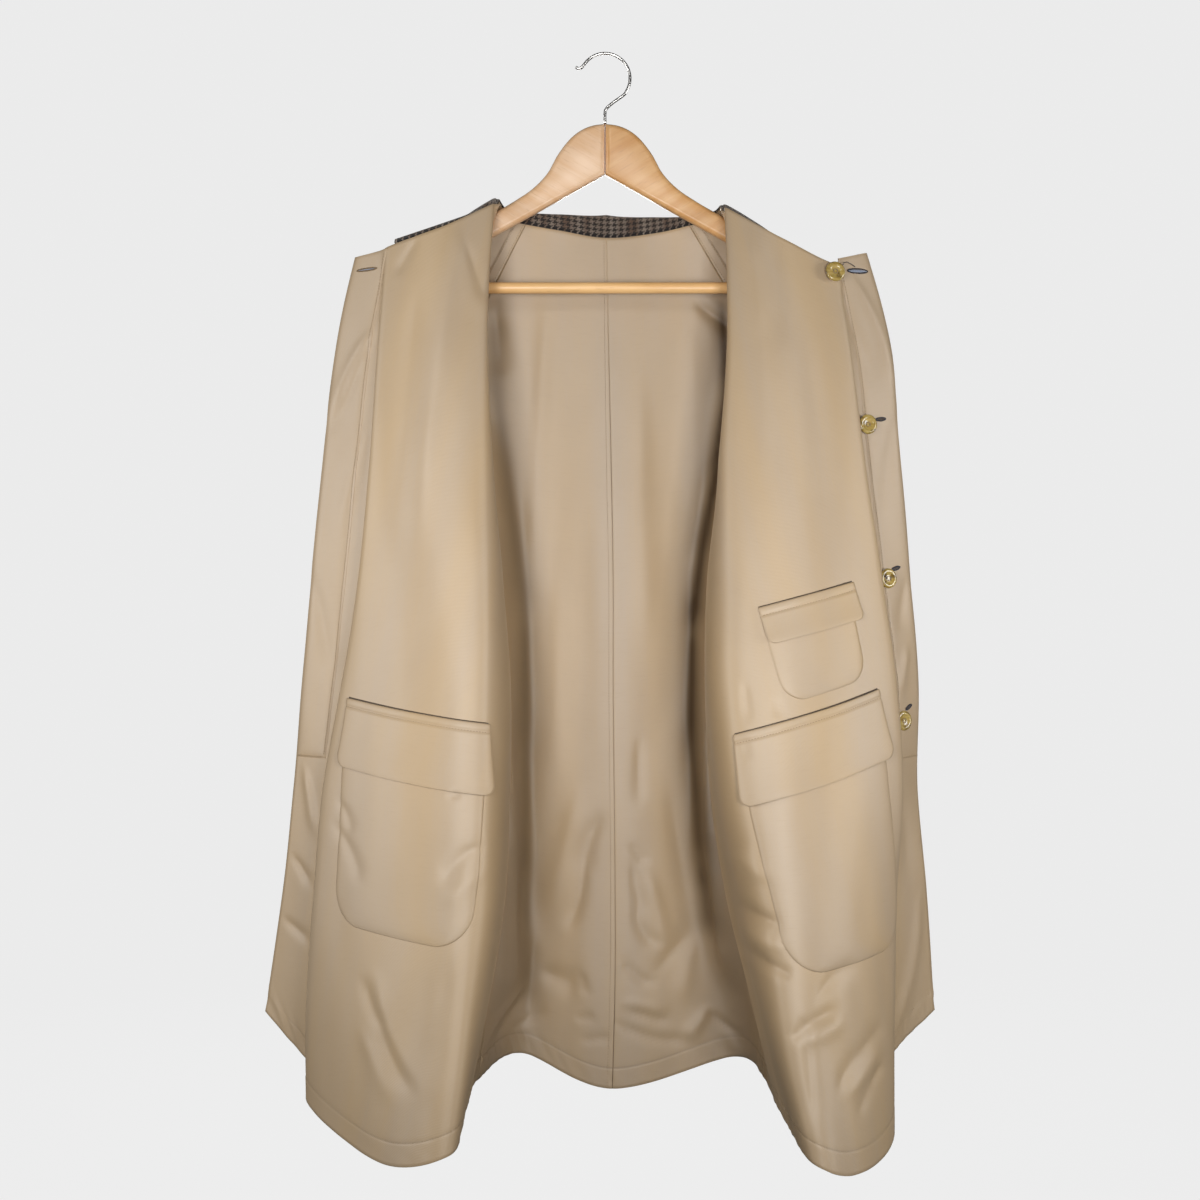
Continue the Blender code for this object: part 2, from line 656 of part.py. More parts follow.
def button(number, spec, collection):
    """A turned button with a dished face and a thread shank under it."""
    rim, thick = BUTTON_RADIUS * MM, BUTTON_THICKNESS * MM
    shank, neck = SHANK_RADIUS * MM, SHANK_HEIGHT * MM
    profile = (
        (0, neck + 0.72 * thick),
        (0.45 * rim, neck + 0.74 * thick),
        (0.66 * rim, neck + thick),
        (0.88 * rim, neck + thick),
        (rim, neck + 0.62 * thick),
        (0.8 * rim, neck + 0.1 * thick),
        (shank, neck),
        (shank, 0),
        (0, 0),
    )
    mesh = bmesh.new()
    verts = [mesh.verts.new((x, 0, z)) for x, z in profile]
    for first, second in zip(verts, verts[1:]):
        mesh.edges.new((first, second))
    bmesh.ops.spin(
        mesh,
        geom=mesh.verts[:] + mesh.edges[:],
        axis=(0, 0, 1),
        cent=(0, 0, 0),
        angle=2 * math.pi,
        steps=14,
        use_merge=True,
        use_duplicate=False,
    )
    bmesh.ops.remove_doubles(mesh, verts=mesh.verts[:], dist=1e-6)
    bmesh.ops.recalc_face_normals(mesh, faces=mesh.faces[:])
    data = bpy.data.meshes.new(f"button_{number}")
    mesh.to_mesh(data)
    mesh.free()
    data.shade_smooth()
    made = add_object(f"button_{number}", data, "horn", collection)
    on_fly = spec.from_edge * MM < FLY_WIDTH + BUTTON_RADIUS * MM
    seat = 2 * SEAM_GAP + (LAYER_GAP + LAYER if on_fly else 0)
    place, normal = on_front("right", spec.height * MM, seat, from_edge=spec.from_edge * MM)
    made.location = place
    made.rotation_mode = "QUATERNION"
    facing = Vector(unit(normal + np.array([0, -BUTTON_FACING, 0])))
    made.rotation_quaternion = facing.to_track_quat("Z", "X")


# Hanger


def hanger_arm(side, collection):
    """One glued half of the wooden hanger: a flat outline with rounded edges."""
    turn = -1 if side == "left" else 1
    top = np.array(ARM_TOP, float)
    outline = [(x, smooth(top[:, 0], top[:, 1], x)) for x in np.linspace(0, top[-1, 0], 25)]
    outline += [*ARM_END, *ARM_UNDER]
    curve = bpy.data.curves.new(f"hanger_arm_{side}", "CURVE")
    curve.dimensions = "2D"
    curve.fill_mode = "BOTH"
    curve.extrude = ARM_HALF_DEPTH - ARM_ROUNDING
    curve.bevel_depth = ARM_ROUNDING
    curve.bevel_resolution = 2
    curve.offset = -ARM_ROUNDING
    spline = curve.splines.new("POLY")
    spline.points.add(len(outline) - 1)
    for point, (x, z) in zip(spline.points, outline):
        point.co = (turn * (x * MM + SEAM_GAP / 2), z * MM, 0, 1)
    spline.use_cyclic_u = True
    made = add_object(f"hanger_arm_{side}", curve, "beech", collection)
    made.rotation_euler = (math.pi / 2, 0, 0)


def hanger_bar(collection):
    reach = ARM_UNDER[0][0] * MM - SEAM_GAP
    mesh = bmesh.new()
    bmesh.ops.create_cone(
        mesh, cap_ends=True, segments=14, radius1=BAR_RADIUS, radius2=BAR_RADIUS, depth=2 * reach
    )
    data = bpy.data.meshes.new("hanger_bar")
    mesh.to_mesh(data)
    mesh.free()
    data.shade_smooth()
    made = add_object("hanger_bar", data, "beech", collection)
    made.location = (0, 0, BAR_HEIGHT)
    made.rotation_euler = (0, math.pi / 2, 0)


def hook_route():
    """Middle of the hook's wire: a stem, a slanting neck, the crook and a tip turned outwards."""
    centre = HOOK_WIRE - HOOK_RADIUS
    route = [(0, ARM_TOP[0][1] * MM + SEAM_GAP), (0, -62 * MM)]
    route += [(1.5 * MM, -57 * MM), (8 * MM, -51 * MM)]
    for angle in np.radians(np.linspace(-42, 146, 19)):
        route.append((HOOK_RADIUS * math.cos(angle), centre + HOOK_RADIUS * math.sin(angle)))
    return route + [(-25 * MM, -13.5 * MM), (-28 * MM, -14.5 * MM), (-31 * MM, -13 * MM)]


def hanger_hook(collection):
    curve = bpy.data.curves.new("hanger_hook", "CURVE")
    curve.dimensions = "3D"
    curve.bevel_depth = HOOK_WIRE
    curve.bevel_resolution = 2
    curve.use_fill_caps = True
    route = hook_route()
    spline = curve.splines.new("POLY")
    spline.points.add(len(route) - 1)
    for point, (x, z) in zip(spline.points, route):
        point.co = (x, 0, z, 1)
    add_object("hanger_hook", curve, "wire", collection)


def main():
    clear_scene()
    coat = bpy.data.collections.new("balmacaan_coat")
    bpy.context.scene.collection.children.link(coat)
    for side in SIDES:
        body_panel(side, "front", even_columns((2, 3, 6, 7, 4, 2)), coat)
        body_panel(side, "back", even_columns((4, 4)), coat)
        for half in ("front", "back"):
            sleeve_panel(side, half, coat)
        fly_strip(side, coat)
        raglan_tape(side, coat)
        hanger_arm(side, coat)
    for name, patch in PATCHES.items():
        patch_piece(name, patch, coat)
    collar(coat)
    for number, spec in enumerate(BUTTONS, 1):
        button(number, spec, coat)
    hanger_bar(coat)
    hanger_hook(coat)


main()
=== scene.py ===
"""Looks of the reversible balmacaan coat: cloth, sewing, buttons and hanger around the solids.

Lengths are metres and the tables hold millimetres. +Z is up, -Y is the side that the open coat shows.
The cloth repeats the solids' sections on a finer grid, with its creases, hems and sewing.
"""

import math
from collections import namedtuple

import bmesh
import bpy
import numpy as np
from mathutils import Matrix, Vector, noise


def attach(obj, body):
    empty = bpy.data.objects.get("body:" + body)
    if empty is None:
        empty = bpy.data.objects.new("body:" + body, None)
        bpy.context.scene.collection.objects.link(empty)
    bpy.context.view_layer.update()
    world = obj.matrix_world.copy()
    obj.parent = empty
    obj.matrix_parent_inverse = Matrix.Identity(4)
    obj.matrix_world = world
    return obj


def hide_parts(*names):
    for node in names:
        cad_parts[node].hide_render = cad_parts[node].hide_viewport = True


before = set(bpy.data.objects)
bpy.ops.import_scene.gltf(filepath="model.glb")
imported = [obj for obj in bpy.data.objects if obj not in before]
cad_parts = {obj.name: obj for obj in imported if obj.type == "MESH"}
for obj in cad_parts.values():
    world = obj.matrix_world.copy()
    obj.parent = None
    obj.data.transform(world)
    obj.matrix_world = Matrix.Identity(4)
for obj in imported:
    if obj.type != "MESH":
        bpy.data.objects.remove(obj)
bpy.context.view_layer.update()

MM = 0.001

# Camera: the photograph's place, height and angle of view
CAMERA_PLACE = (-0.0053, -1.70, -0.5777)
CAMERA_LENS, CAMERA_SENSOR = 48.12, 36

# Lamps: place, aim, width and height, watts and spread in degrees
Lamp = namedtuple("Lamp", "place aim size watts spread", defaults=(180,))
LAMPS = {
    "left_key": Lamp((-0.40, -1.50, -0.49), (-0.2, 0, -0.51), (0.35, 0.35), 2.35, 80),
    "right_key": Lamp((0.40, -1.50, -0.61), (0.2, 0, -0.65), (0.35, 0.35), 2.35, 80),
    "back_key": Lamp((-0.3, 2.6, 0.1), (0, 0, -0.55), (1.6, 1.2), 62),
    "left_side": Lamp((-2.4, -0.95, -0.40), (-0.2, 0, -0.52), (0.8, 0.8), 8.5, 110),
    "right_side": Lamp((2.4, -0.95, -0.40), (0.2, 0, -0.52), (0.8, 0.8), 8.5, 110),
    "hanger_light": Lamp((0.0, -1.6, 0.25), (0, 0, -0.08), (0.3, 0.3), 0.06, 20),
}
WORLD_STRENGTH = 0.07

# Cloth
WALL = 2.4 * MM
LAYER = 1.0 * MM
UNDERARM = -438 * MM
SEAM_TURN = 90 * MM

# The hem's band stands up by a step below its sewn line, which is a groove darkened by painted shade
HEM_BAND = 22 * MM
HEM_STEP = 0.25 * MM
GROOVE = 0.5 * MM
GROOVE_REACH = 1.7 * MM
GROOVE_WIDTH = 0.7 * GROOVE_REACH
HEM_PAINTED_SHADE = 0.3

# The centre back seam: about how far it lies from the back's fold in millimetres, then its dip, the
# painted shade that draws its dark line, and its row of stitches
BACK_REACH = 95
SEAM_DIP, SEAM_DIP_REACH = 0.45 * MM, 0.9 * MM
SEAM_PAINTED_SHADE, SEAM_LINE = 0.8, 0.5 * MM
SEAM_STITCHES = 4.6

# Painted shade on the inner side of a rolled front: its share, and its middle and reach as counts of folds
INNER_PAINTED_SHADE, INNER_MIDDLE, INNER_REACH = 0.42, 4.5, 0.36

# Horizontal sections of one half, as (x, y) of each fold at a height, from the front edge to the
# back. The seam has two places above the underarm, where the raglan sleeve parts front and back.
FOLDS = "edge hollow bulge middle fold ridge front_seam back_seam back"
Section = namedtuple("Section", "height " + FOLDS)
LEFT_SECTIONS = (
    Section(-158, (-243, -38), (-228, -46), (-209, -54), (-163, -56), (-121, -31),
            (-118, -24), (-113, -18), (-78, 27), (-45, 34)),
    Section(-298, (-277, -30), (-233, -52), (-224, -68), (-170, -78), (-125, -60),
            (-129, -34), (-152, -22), (-150, 42), (-80, 44)),
    Section(-438, (-295, -26), (-237, -54), (-235, -78), (-174, -97), (-121, -85),
            (-126, -35), (-200, 0), (-200, 0), (-100, 52)),
    Section(-553, (-307, -20), (-248, -52), (-246, -78), (-178, -112), (-117, -108),
            (-112, -35), (-186, 6), (-186, 6), (-93, 56)),
    Section(-668, (-318, -14), (-265, -48), (-263, -76), (-185, -126), (-116, -130),
            (-101, -36), (-168, 8), (-168, 8), (-87, 58)),
    Section(-773, (-327, -10), (-283, -46), (-281, -78), (-192, -140), (-116, -148),
            (-100, -45), (-147, 6), (-147, 6), (-86, 58)),
    Section(-878, (-339, -6), (-292, -44), (-290, -80), (-196, -152), (-119, -165),
            (-103, -60), (-127, 2), (-127, 2), (-86, 58)),
    Section(-990, (-357, 4), (-303, -34), (-299, -76), (-206, -160), (-132, -184),
            (-120, -82), (-126, -8), (-126, -8), (-87, 55)),
    Section(-1108, (-375, 18), (-306, -14), (-300, -68), (-213, -166), (-148, -205),
            (-146, -110), (-136, -20), (-136, -20), (-93, 50)),
)
RIGHT_SECTIONS = (
    Section(-158, (252, -40), (236, -47), (219, -54), (176, -57), (129, -31),
            (126, -24), (121, -18), (82, 27), (47, 34)),
    Section(-298, (293, -32), (249, -54), (241, -70), (188, -80), (131, -60),
            (135, -33), (160, -22), (164, 42), (88, 44)),
    Section(-438, (308, -26), (262, -56), (259, -80), (194, -100), (123, -85),
            (130, -35), (210, 0), (210, 0), (108, 52)),
    Section(-553, (319, -20), (277, -56), (274, -84), (200, -118), (122, -108),
            (112, -37), (192, 6), (192, 6), (103, 56)),
    Section(-668, (329, -14), (291, -56), (288, -88), (204, -136), (121, -130),
            (107, -40), (174, 8), (174, 8), (99, 58)),
    Section(-773, (328, -10), (297, -56), (293, -94), (211, -152), (132, -150),
            (110, -48), (160, 6), (160, 6), (101, 58)),
    Section(-878, (338, -6), (291, -58), (287, -102), (218, -168), (152, -170),
            (124, -60), (150, 2), (150, 2), (108, 58)),
    Section(-990, (347, 4), (290, -56), (284, -114), (222, -184), (168, -192),
            (151, -82), (158, -8), (158, -8), (127, 55)),
    Section(-1108, (357, 18), (293, -40), (281, -130), (232, -200), (194, -215),
            (183, -110), (171, -20), (171, -20), (144, 50)),
)
CENTRE_BACK = ((1, 35), (4, 40), (7, 45), (9, 47), (9, 48), (10, 47), (11, 45), (11, 40), (8, 35))

# Heights of the neckline and of the hem at each fold
Ends = namedtuple("Ends", FOLDS)
LEFT_NECK = Ends(-222, -218, -214, -196, -168, -164.5, -162.5, -173, -178)
LEFT_HEM = Ends(-1015, -1066, -1092, -1116, -1096, -1086, -1080, -1080, -1072)
RIGHT_NECK = Ends(-218, -228, -234, -209, -172, -171, -170, -174, -181)
RIGHT_HEM = Ends(-1013, -1053, -1106, -1115, -1099, -1093, -1078, -1078, -1076)
CENTRE_NECK, CENTRE_HEM = -186, -1106

# Raglan sleeve, left. Each station has its overarm point, then the share of the raglan seam it
# reaches or the underarm point of the tube, and how far the front and back halves stand out.
Station = namedtuple("Station", "overarm seam_share underarm front_out back_out")
SLEEVE_STATIONS = (
    Station((-112, 0, -156), 0.0, None, 5, 14),
    Station((-165, 0, -193.0), 0.2, None, 22, 24),
    Station((-216, -1, -227.0), 0.45, None, 28, 34),
    Station((-258, -6, -296), 0.73, None, 30, 52),
    Station((-272, -6, -408), 1.0, (-200, 0, -438), 44, 70),
    Station((-270, -6, -480), None, (-207, -8, -492), 46, 76),
    Station((-262, -12, -570), None, (-204, -16, -570), 46, 84),
    Station((-253, -30, -700), None, (-188, -28, -700), 46, 88),
    Station((-272, -44, -862), None, (-192, -46, -862), 60, 92),
)
UNDERARM_STATION = 4
MIRROR_X = 10 * MM
RIGHT_SHOULDER_DROP = (-6.5, -6.5, -6.5, -3, 0, 0, 0, 0, 0)

# Collar, left. Each station has its place on the neckline, how far the stand rises and leans, its
# outward direction in plan, the height of the turned-over side and the point where the leaf ends.
CollarStation = namedtuple("CollarStation", "place rise lean outward turn leaf_end")
COLLAR_STATIONS = (
    CollarStation(0, 3.5, 3, (0.1, 1), 0, (-219, -44, -270)),
    CollarStation(1, 3, 3, (-0.1, 1), 0, (-172, -46, -254)),
    CollarStation(2, 0, 4, (-1, 0.1), -2, (-152, -46, -226)),
    CollarStation(4, 0, 3, (-1, -0.3), -0.5, (-154, -36, -210)),
    CollarStation(5, 0, 3, (-1, 0), 0, (-170, 0, -184)),
    CollarStation(5.5, 4, 4, (-0.85, 0.5), 3, (-153, 31, -196)),
    CollarStation(6, 10, 4, (-0.6, 0.8), 7, (-126, 52, -226)),
    CollarStation(7, 17, 11, (-0.15, 1), 14, (-62, 60, -244)),
    CollarStation(8, 25, 15, (0, 1), 22, (3, 61, -252)),
)
# At some places of each side: another rise of the stand, a drop of the leaf's end, and the share of
# the full tuck by which the stand goes down behind the front
RISES = {"left": {1: 1.5, 2: -6, 4: -2}, "right": {0: -9, 1: -10, 2: -9, 4: -4, 6: 8}}
LEAF_DROPS = {"left": {4: 4, 5: 6, 5.5: 4}, "right": {4: 8, 5: 12, 5.5: 9}}
TUCKS = {"left": {1: 0.3, 2: 1, 4: 0.4}, "right": {0: 1, 1: 1, 2: 1, 4: 0.4}}
NECK_GAP = 0.4 * MM
COLLAR_TURN = 5 * MM
TUCK_DROP = 4 * MM
# The leaf's slack as a multiple of the body's, and the start of its easing, below 0 to hold the stand
COLLAR_SLACK, STAND_HELD = 1.5, -0.6

# Places on the neckline: the raglan seams with the shoulder between them, and the centre back
FRONT_RAGLAN, SHOULDER, BACK_RAGLAN, NECK_CENTRE = 4, 5, 6, 8

# Pockets and flaps: place on the turned-out front as the distance from the fold and the height of
# the top middle, then the tilt of the top, the lean of the sides, how much the sides spread, the
# width at the top, the depth, the corner and the height and lower lift of the layer.
Patch = namedtuple("Patch", "side from_fold height tilt lean spread width depth corner rise lift")
PATCHES = {
    "hip_pocket_left": Patch("left", 81, -696, -5, 3, 0, 164, 208, 36, 1.9, 0),
    "hip_flap_left": Patch("left", 78, -688, -8, 3, 0.1, 162, 68, 12, 3.6, 4.5),
    "hip_pocket_right": Patch("right", 84, -704, 5, 3, 0, 160, 222, 38, 1.9, 0),
    "hip_flap_right": Patch("right", 82, -688, 15, 5, 0.1, 164, 68, 12, 3.6, 4.5),
    "chest_pocket": Patch("right", 78, -576, 15, 15, 0, 94, 94, 22, 1.9, 0),
    "chest_flap": Patch("right", 80, -573, 15, 17, 0, 101, 38, 7, 3.6, 4),
}
# The welt of a flap and its groove, the drop at its top, and the drop at the rim of a pocket or flap
WELT = 8
WELT_GROOVE, WELT_REACH = 1.1, 1.5
TOP_DROP, TOP_REACH = 0.9, 1.5
RIM_DROP = {"pocket": 1.5, "flap": 0.8}
RIM_REACH = 3.5

# Painted shadow in the slit above a flap, a dark strip: rows down from the flap's top, height over the
# front and thickness
MOUTH_ROWS = (-1.5, -0.9, -0.3, 0.3)
MOUTH_HEIGHT, MOUTH_THICKNESS = 0.35 * MM, 0.3 * MM

# Fly strips along the front edges
FLY_WIDTH, FLY_LENGTH = 44 * MM, 520 * MM
FLY_EDGE = 1.5 * MM
FLY_TOP = 0.3 * MM
FLY_END = -742 * MM
FLY_RISE = 1.9 * MM
FLY_RIM_DROP = 1.45 * MM
FLY_SEWING, FLY_SINK = 1.6 * MM, 0.1 * MM

# Tapes along the back raglan seams: how many stations short of the underarm they end, then their
# gap from the seam, their lift and their two rows of sewing
TAPE_WIDTH = 12 * MM
TAPE_STOP = 0.4
TAPE_GAP = 0.4 * MM
TAPE_LIFT = 0.7 * MM
TAPE_SEWING = (2.2 * MM, 10.4 * MM)

# Creases of each panel, as a line in the picture's plane: (x, z) of its ends, its half width, its
# height, which is below zero for a trough, and how far its middle bows aside
Crease = namedtuple("Crease", "start end width height bow", defaults=(0,))
CREASES = {
    "front_left": (
        Crease((-193, -212), (-211, -243), 5, -2.0),
        Crease((-139, -219), (-123, -268), 6, -2.4),
        Crease((-150, -212), (-136, -280), 8, 1.8),
        Crease((-152, -215), (-173, -380), 10, 2.0),
        Crease((-173, -380), (-189, -522), 12, 1.8),
        Crease((-193, -278), (-201, -398), 12, -2.0),
        Crease((-201, -398), (-210, -518), 13, -1.8),
        Crease((-238, -301), (-278, -377), 6, 2.4, 5),
        Crease((-243, -401), (-271, -494), 8, 1.8),
        Crease((-250, -330), (-283, -400), 7, -1.8),
        Crease((-302, -560), (-284, -650), 9, -1.8),
        Crease((-312, -759), (-302, -814), 5, 2.6),
        Crease((-325, -849), (-307, -872), 5, -2.6),
        Crease((-335, -916), (-309, -931), 5, -2.6),
        Crease((-265, -780), (-252, -808), 6, -1.5, -3),
        Crease((-268, -806), (-241, -852), 7, -1.9, -4),
        Crease((-123, -814), (-153, -847), 8, -3.0, 4),
        Crease((-118, -836), (-150, -866), 9, 1.8),
        Crease((-150, -768), (-140, -764), 3, -1.6),
        Crease((-235, -951), (-217, -988), 7, -2.2, 2),
        Crease((-217, -988), (-186, -1041), 9, -2.6, 4),
        Crease((-219, -950), (-175, -1036), 10, 2.4, 6),
        Crease((-236, -1000), (-206, -1052), 9, 1.6),
        Crease((-150, -930), (-164, -1020), 12, -2.2),
    ),
    "front_right": (
        Crease((149, -206), (159, -297), 10, 2.0),
        Crease((171, -211), (176, -307), 12, -1.8),
        Crease((159, -320), (168, -520), 14, 1.6),
        Crease((205, -330), (222, -520), 16, -1.6),
        Crease((251, -246), (295, -341), 6, 2.6, -6),
        Crease((243, -267), (276, -350), 7, -2.2),
        Crease((300, -390), (288, -470), 8, -1.8),
        Crease((312, -560), (304, -604), 6, -1.8),
        Crease((311, -630), (304, -669), 5, 2.4),
        Crease((308, -780), (316, -860), 8, -2.0),
        Crease((327, -900), (300, -1021), 6, 2.6, -7),
        Crease((136, -661), (139, -693), 5, -1.5),
        Crease((166, -676), (167, -690), 4, -1.2),
        Crease((136, -712), (138, -730), 4, -1.0),
        Crease((152, -843), (130, -824), 10, 2.6),
        Crease((162, -884), (132, -878), 7, -4.0),
        Crease((166, -906), (134, -898), 9, 3.4),
        Crease((170, -928), (137, -920), 7, -4.0),
        Crease((167, -927), (173, -933), 4, -1.8),
        Crease((201, -951), (236, -927), 8, -2.4, -4),
        Crease((175, -988), (189, -975), 6, -3.0),
        Crease((189, -975), (216, -966), 6, -3.2),
        Crease((190, -990), (222, -978), 8, 2.4),
        Crease((188, -991), (192, -1055), 7, -2.6),
        Crease((220, -1035), (245, -1008), 8, -2.4, -3),
        Crease((245, -1008), (268, -993), 8, -2.2),
        Crease((232, -1042), (262, -1012), 8, 2.4),
        Crease((240, -1062), (255, -1040), 7, -1.9),
        Crease((255, -1040), (267, -1030), 5, -2.4),
    ),
    "back_left": (
        Crease((-118, -270), (-112, -325), 12, -4.0),
        Crease((-65, -284), (-81, -578), 13, 2.8),
        Crease((-50, -560), (-54, -800), 18, 2.6),
        Crease((-7, -817), (-24, -870), 8, -3.4, 3),
        Crease((-24, -870), (-38, -930), 6, -3.6, -3),
        Crease((-30, -800), (-58, -915), 13, 2.8),
        Crease((-79, -955), (-85, -1027), 9, -4.2),
        Crease((-66, -985), (-30, -997), 12, -3.6),
        Crease((-25, -985), (-21, -1005), 4, -1.8),
        Crease((-94, -1002), (-141, -1052), 8, 3.2),
        Crease((-91, -1008), (-117, -1048), 6, -3.2),
        Crease((-102, -1045), (-67, -1027), 4, -2.0),
        Crease((-29, -1034), (-13, -1029), 4, -1.8),
        Crease((-22, -1057), (2, -1050), 4, -1.6),
        Crease((-130, -410), (-118, -560), 18, 15),
        Crease((-118, -560), (-115, -720), 19, 22),
        Crease((-115, -720), (-113, -880), 19, 22),
        Crease((-113, -880), (-108, -1000), 17, 16),
        Crease((-92, -470), (-82, -600), 11, -3.0),
        Crease((-82, -600), (-80, -760), 12, -3.5),
        Crease((-80, -760), (-80, -920), 12, -3.5),
    ),
    "back_right": (
        Crease((150, -300), (142, -440), 16, 14),
        Crease((142, -440), (122, -570), 16, 20),
        Crease((122, -570), (119, -720), 17, 25),
        Crease((119, -720), (128, -860), 17, 25),
        Crease((128, -860), (143, -980), 16, 18),
        Crease((110, -440), (94, -570), 9, -2.5),
        Crease((94, -570), (91, -720), 9, -3.0),
        Crease((91, -720), (98, -860), 9, -3.0),
        Crease((102, -258), (138, -284), 7, -4.0),
        Crease((38, -360), (43, -630), 14, 1.8),
        Crease((93, -300), (98, -448), 14, 2.2),
        Crease((37, -735), (37, -795), 6, -2.2),
        Crease((28, -845), (43, -864), 4, -2.0),
        Crease((30, -868), (39, -916), 5, -2.6),
        Crease((33, -917), (54, -953), 5, -2.8, 4),
        Crease((48, -880), (66, -950), 8, 2.0),
        Crease((73, -795), (104, -969), 13, -3.0),
        Crease((21, -969), (50, -995), 4, -2.6, 4),
        Crease((58, -980), (88, -945), 8, -1.6),
        Crease((98, -950), (84, -1010), 9, 2.2),
        Crease((30, -1024), (66, -1037), 5, -2.4),
        Crease((24, -1013), (62, -1025), 6, 1.8),
        Crease((18, -1038), (84, -1058), 5, -2.4, 5),
        Crease((112, -1026), (91, -1055), 7, 3.4),
        Crease((112, -1029), (136, -1044), 4, -2.8),
        Crease((136, -1044), (152, -1052), 4, -2.4),
    ),
}
# Painted shade in the valleys beside the rolled fronts, where the cloth is darkest: the height is a share
# of the full shade
PAINTED_SHADE_LINES = {
    "back_left": (
        Crease((-122, -270), (-117, -360), 8, 0.34),
        Crease((-117, -360), (-103, -470), 9, 0.40),
        Crease((-103, -470), (-88, -580), 10, 0.46),
        Crease((-88, -580), (-87, -740), 10, 0.54),
        Crease((-87, -740), (-87, -900), 10, 0.49),
        Crease((-87, -900), (-84, -1010), 10, 0.37),
    ),
    "back_right": (
        Crease((127, -258), (133, -350), 9, 1.0),
        Crease((133, -350), (121, -447), 9, 1.1),
        Crease((121, -447), (107, -523), 8, 0.95),
        Crease((107, -523), (97, -600), 8, 0.95),
        Crease((97, -600), (95, -735), 8, 0.95),
        Crease((97, -735), (106, -870), 10, 0.80),
        Crease((106, -870), (116, -940), 10, 0.60),
    ),
}
# The most painted shade that a place can have
PAINTED_SHADE_MOST = 0.97

# Soft swells all over the cloth, with their lengths and how much they are drawn out upright
SLACK = 1.25 * MM
SLACK_LENGTHS = (66 * MM, 27 * MM)
SLACK_SQUASH = (1, 1, 0.3)

# Puckers along the hems
PUCKER = 0.9 * MM
PUCKER_LENGTH = 15 * MM

# Buttons: height and distance from the right front edge
Button = namedtuple("Button", "height from_edge")
BUTTONS = (Button(-245, 58), Button(-398, 45), Button(-556, 43), Button(-702, 44))
BUTTON_FACING = 0.6
BUTTON_RADIUS = 10.2 * MM
BUTTON_THICKNESS = 4.2 * MM
BUTTON_SEAT = {"fly": FLY_RISE + 0.2 * MM, "front": 0.4 * MM}
SHANK_RADIUS, SHANK_HEIGHT = 2.2 * MM, 3.6 * MM

# A button's profile as shares of its radius and thickness, from the middle of its face to its back
BUTTON_PROFILE = (
    (0, 0.70), (0.28, 0.715), (0.46, 0.77), (0.58, 0.89), (0.68, 0.98), (0.78, 1), (0.90, 0.93),
    (0.97, 0.80), (1, 0.62), (0.97, 0.42), (0.88, 0.22), (0.60, 0.05), (0, 0),
)
# The four stitches on its face: place and length as a share of its radius, height as a share of its
# thickness, half width and half thickness
CROSS_PLACE, CROSS_HEIGHT = 0.2, 0.79
CROSS_WIDTH, CROSS_THICKNESS = 0.5 * MM, 0.45 * MM

# Buttonholes: front, height, distance of the middle from the front edge, length, half opening, tilt
Hole = namedtuple("Hole", "side height from_edge length open tilt")
HOLES = (
    Hole("right", -239, 21, 25, 1.2, 4),
    Hole("right", -391, 24, 12, 0.5, 8),
    Hole("right", -545, 24, 12, 0.5, 14),
    Hole("right", -689, 24, 12, 0.5, 20),
    Hole("left", -237, 21, 24, 0.3, -1),
)
# Holes longer than this gape enough to show a pale edge inside; shorter ones get a dark slit of painted
# shadow
SHORT_HOLE = 15
# The ring of thread bars: their count and radius, the ring's width and its gap round the slit
BARS_PER_HOLE = 56
HOLE_BAR = 0.46 * MM
HOLE_LIP, HOLE_CLEAR = 1.5 * MM, 0.25 * MM

# The loose thread at the first buttonhole: distance from the edge, height, and rise over the strip
LOOSE_THREAD = ((47, -238, 1.0), (40, -233, 2.5), (33, -231.5, 2.5), (27, -232.5, 1.5), (22, -235, 0.6))
LOOSE_RADIUS = 0.35 * MM

# Sewing
STITCH_PITCH = 3.0 * MM
STITCH_LENGTH = 2.3 * MM
STITCH_RADIUS = 0.27 * MM

# Hanger: the hook's wire, crook and route, the outline of an arm, and the bar
HOOK_WIRE = 1.6 * MM
HOOK_RADIUS = 26.5 * MM
HOOK_STEM = ((0, -73.7), (0, -62), (1.5, -57), (8, -51))
HOOK_TURN = (-42, 146)
HOOK_TIP = ((-25, -13.5), (-28, -14.5), (-31, -13))
ARM_HALF_DEPTH = 7 * MM
ARM_ROUNDING = 5 * MM
ARM_TOP = (
    (0, -74), (12, -75.5), (23, -79.5), (37, -90), (46, -101), (52.5, -111), (58, -122), (66, -132.5),
    (77, -143), (93, -154), (122, -171), (165, -196), (200, -219), (216, -232.5),
)
ARM_END = ((221, -240), (221, -258))
ARM_UNDER = ((186, -258), (186, -229), (160, -217), (122, -195), (66, -164), (0, -127))
GLUE_GAP = 0.15 * MM
BAR_RADIUS = 6 * MM
BAR_HEIGHT = -247 * MM
BAR_GAP, BAR_BEVEL = 0.3 * MM, 0.8 * MM
WOOD_CORNER = math.radians(50)

# The cut of a cloth piece: width, length and flat area in square metres
Cut = namedtuple("Cut", "width length area")


# Materials


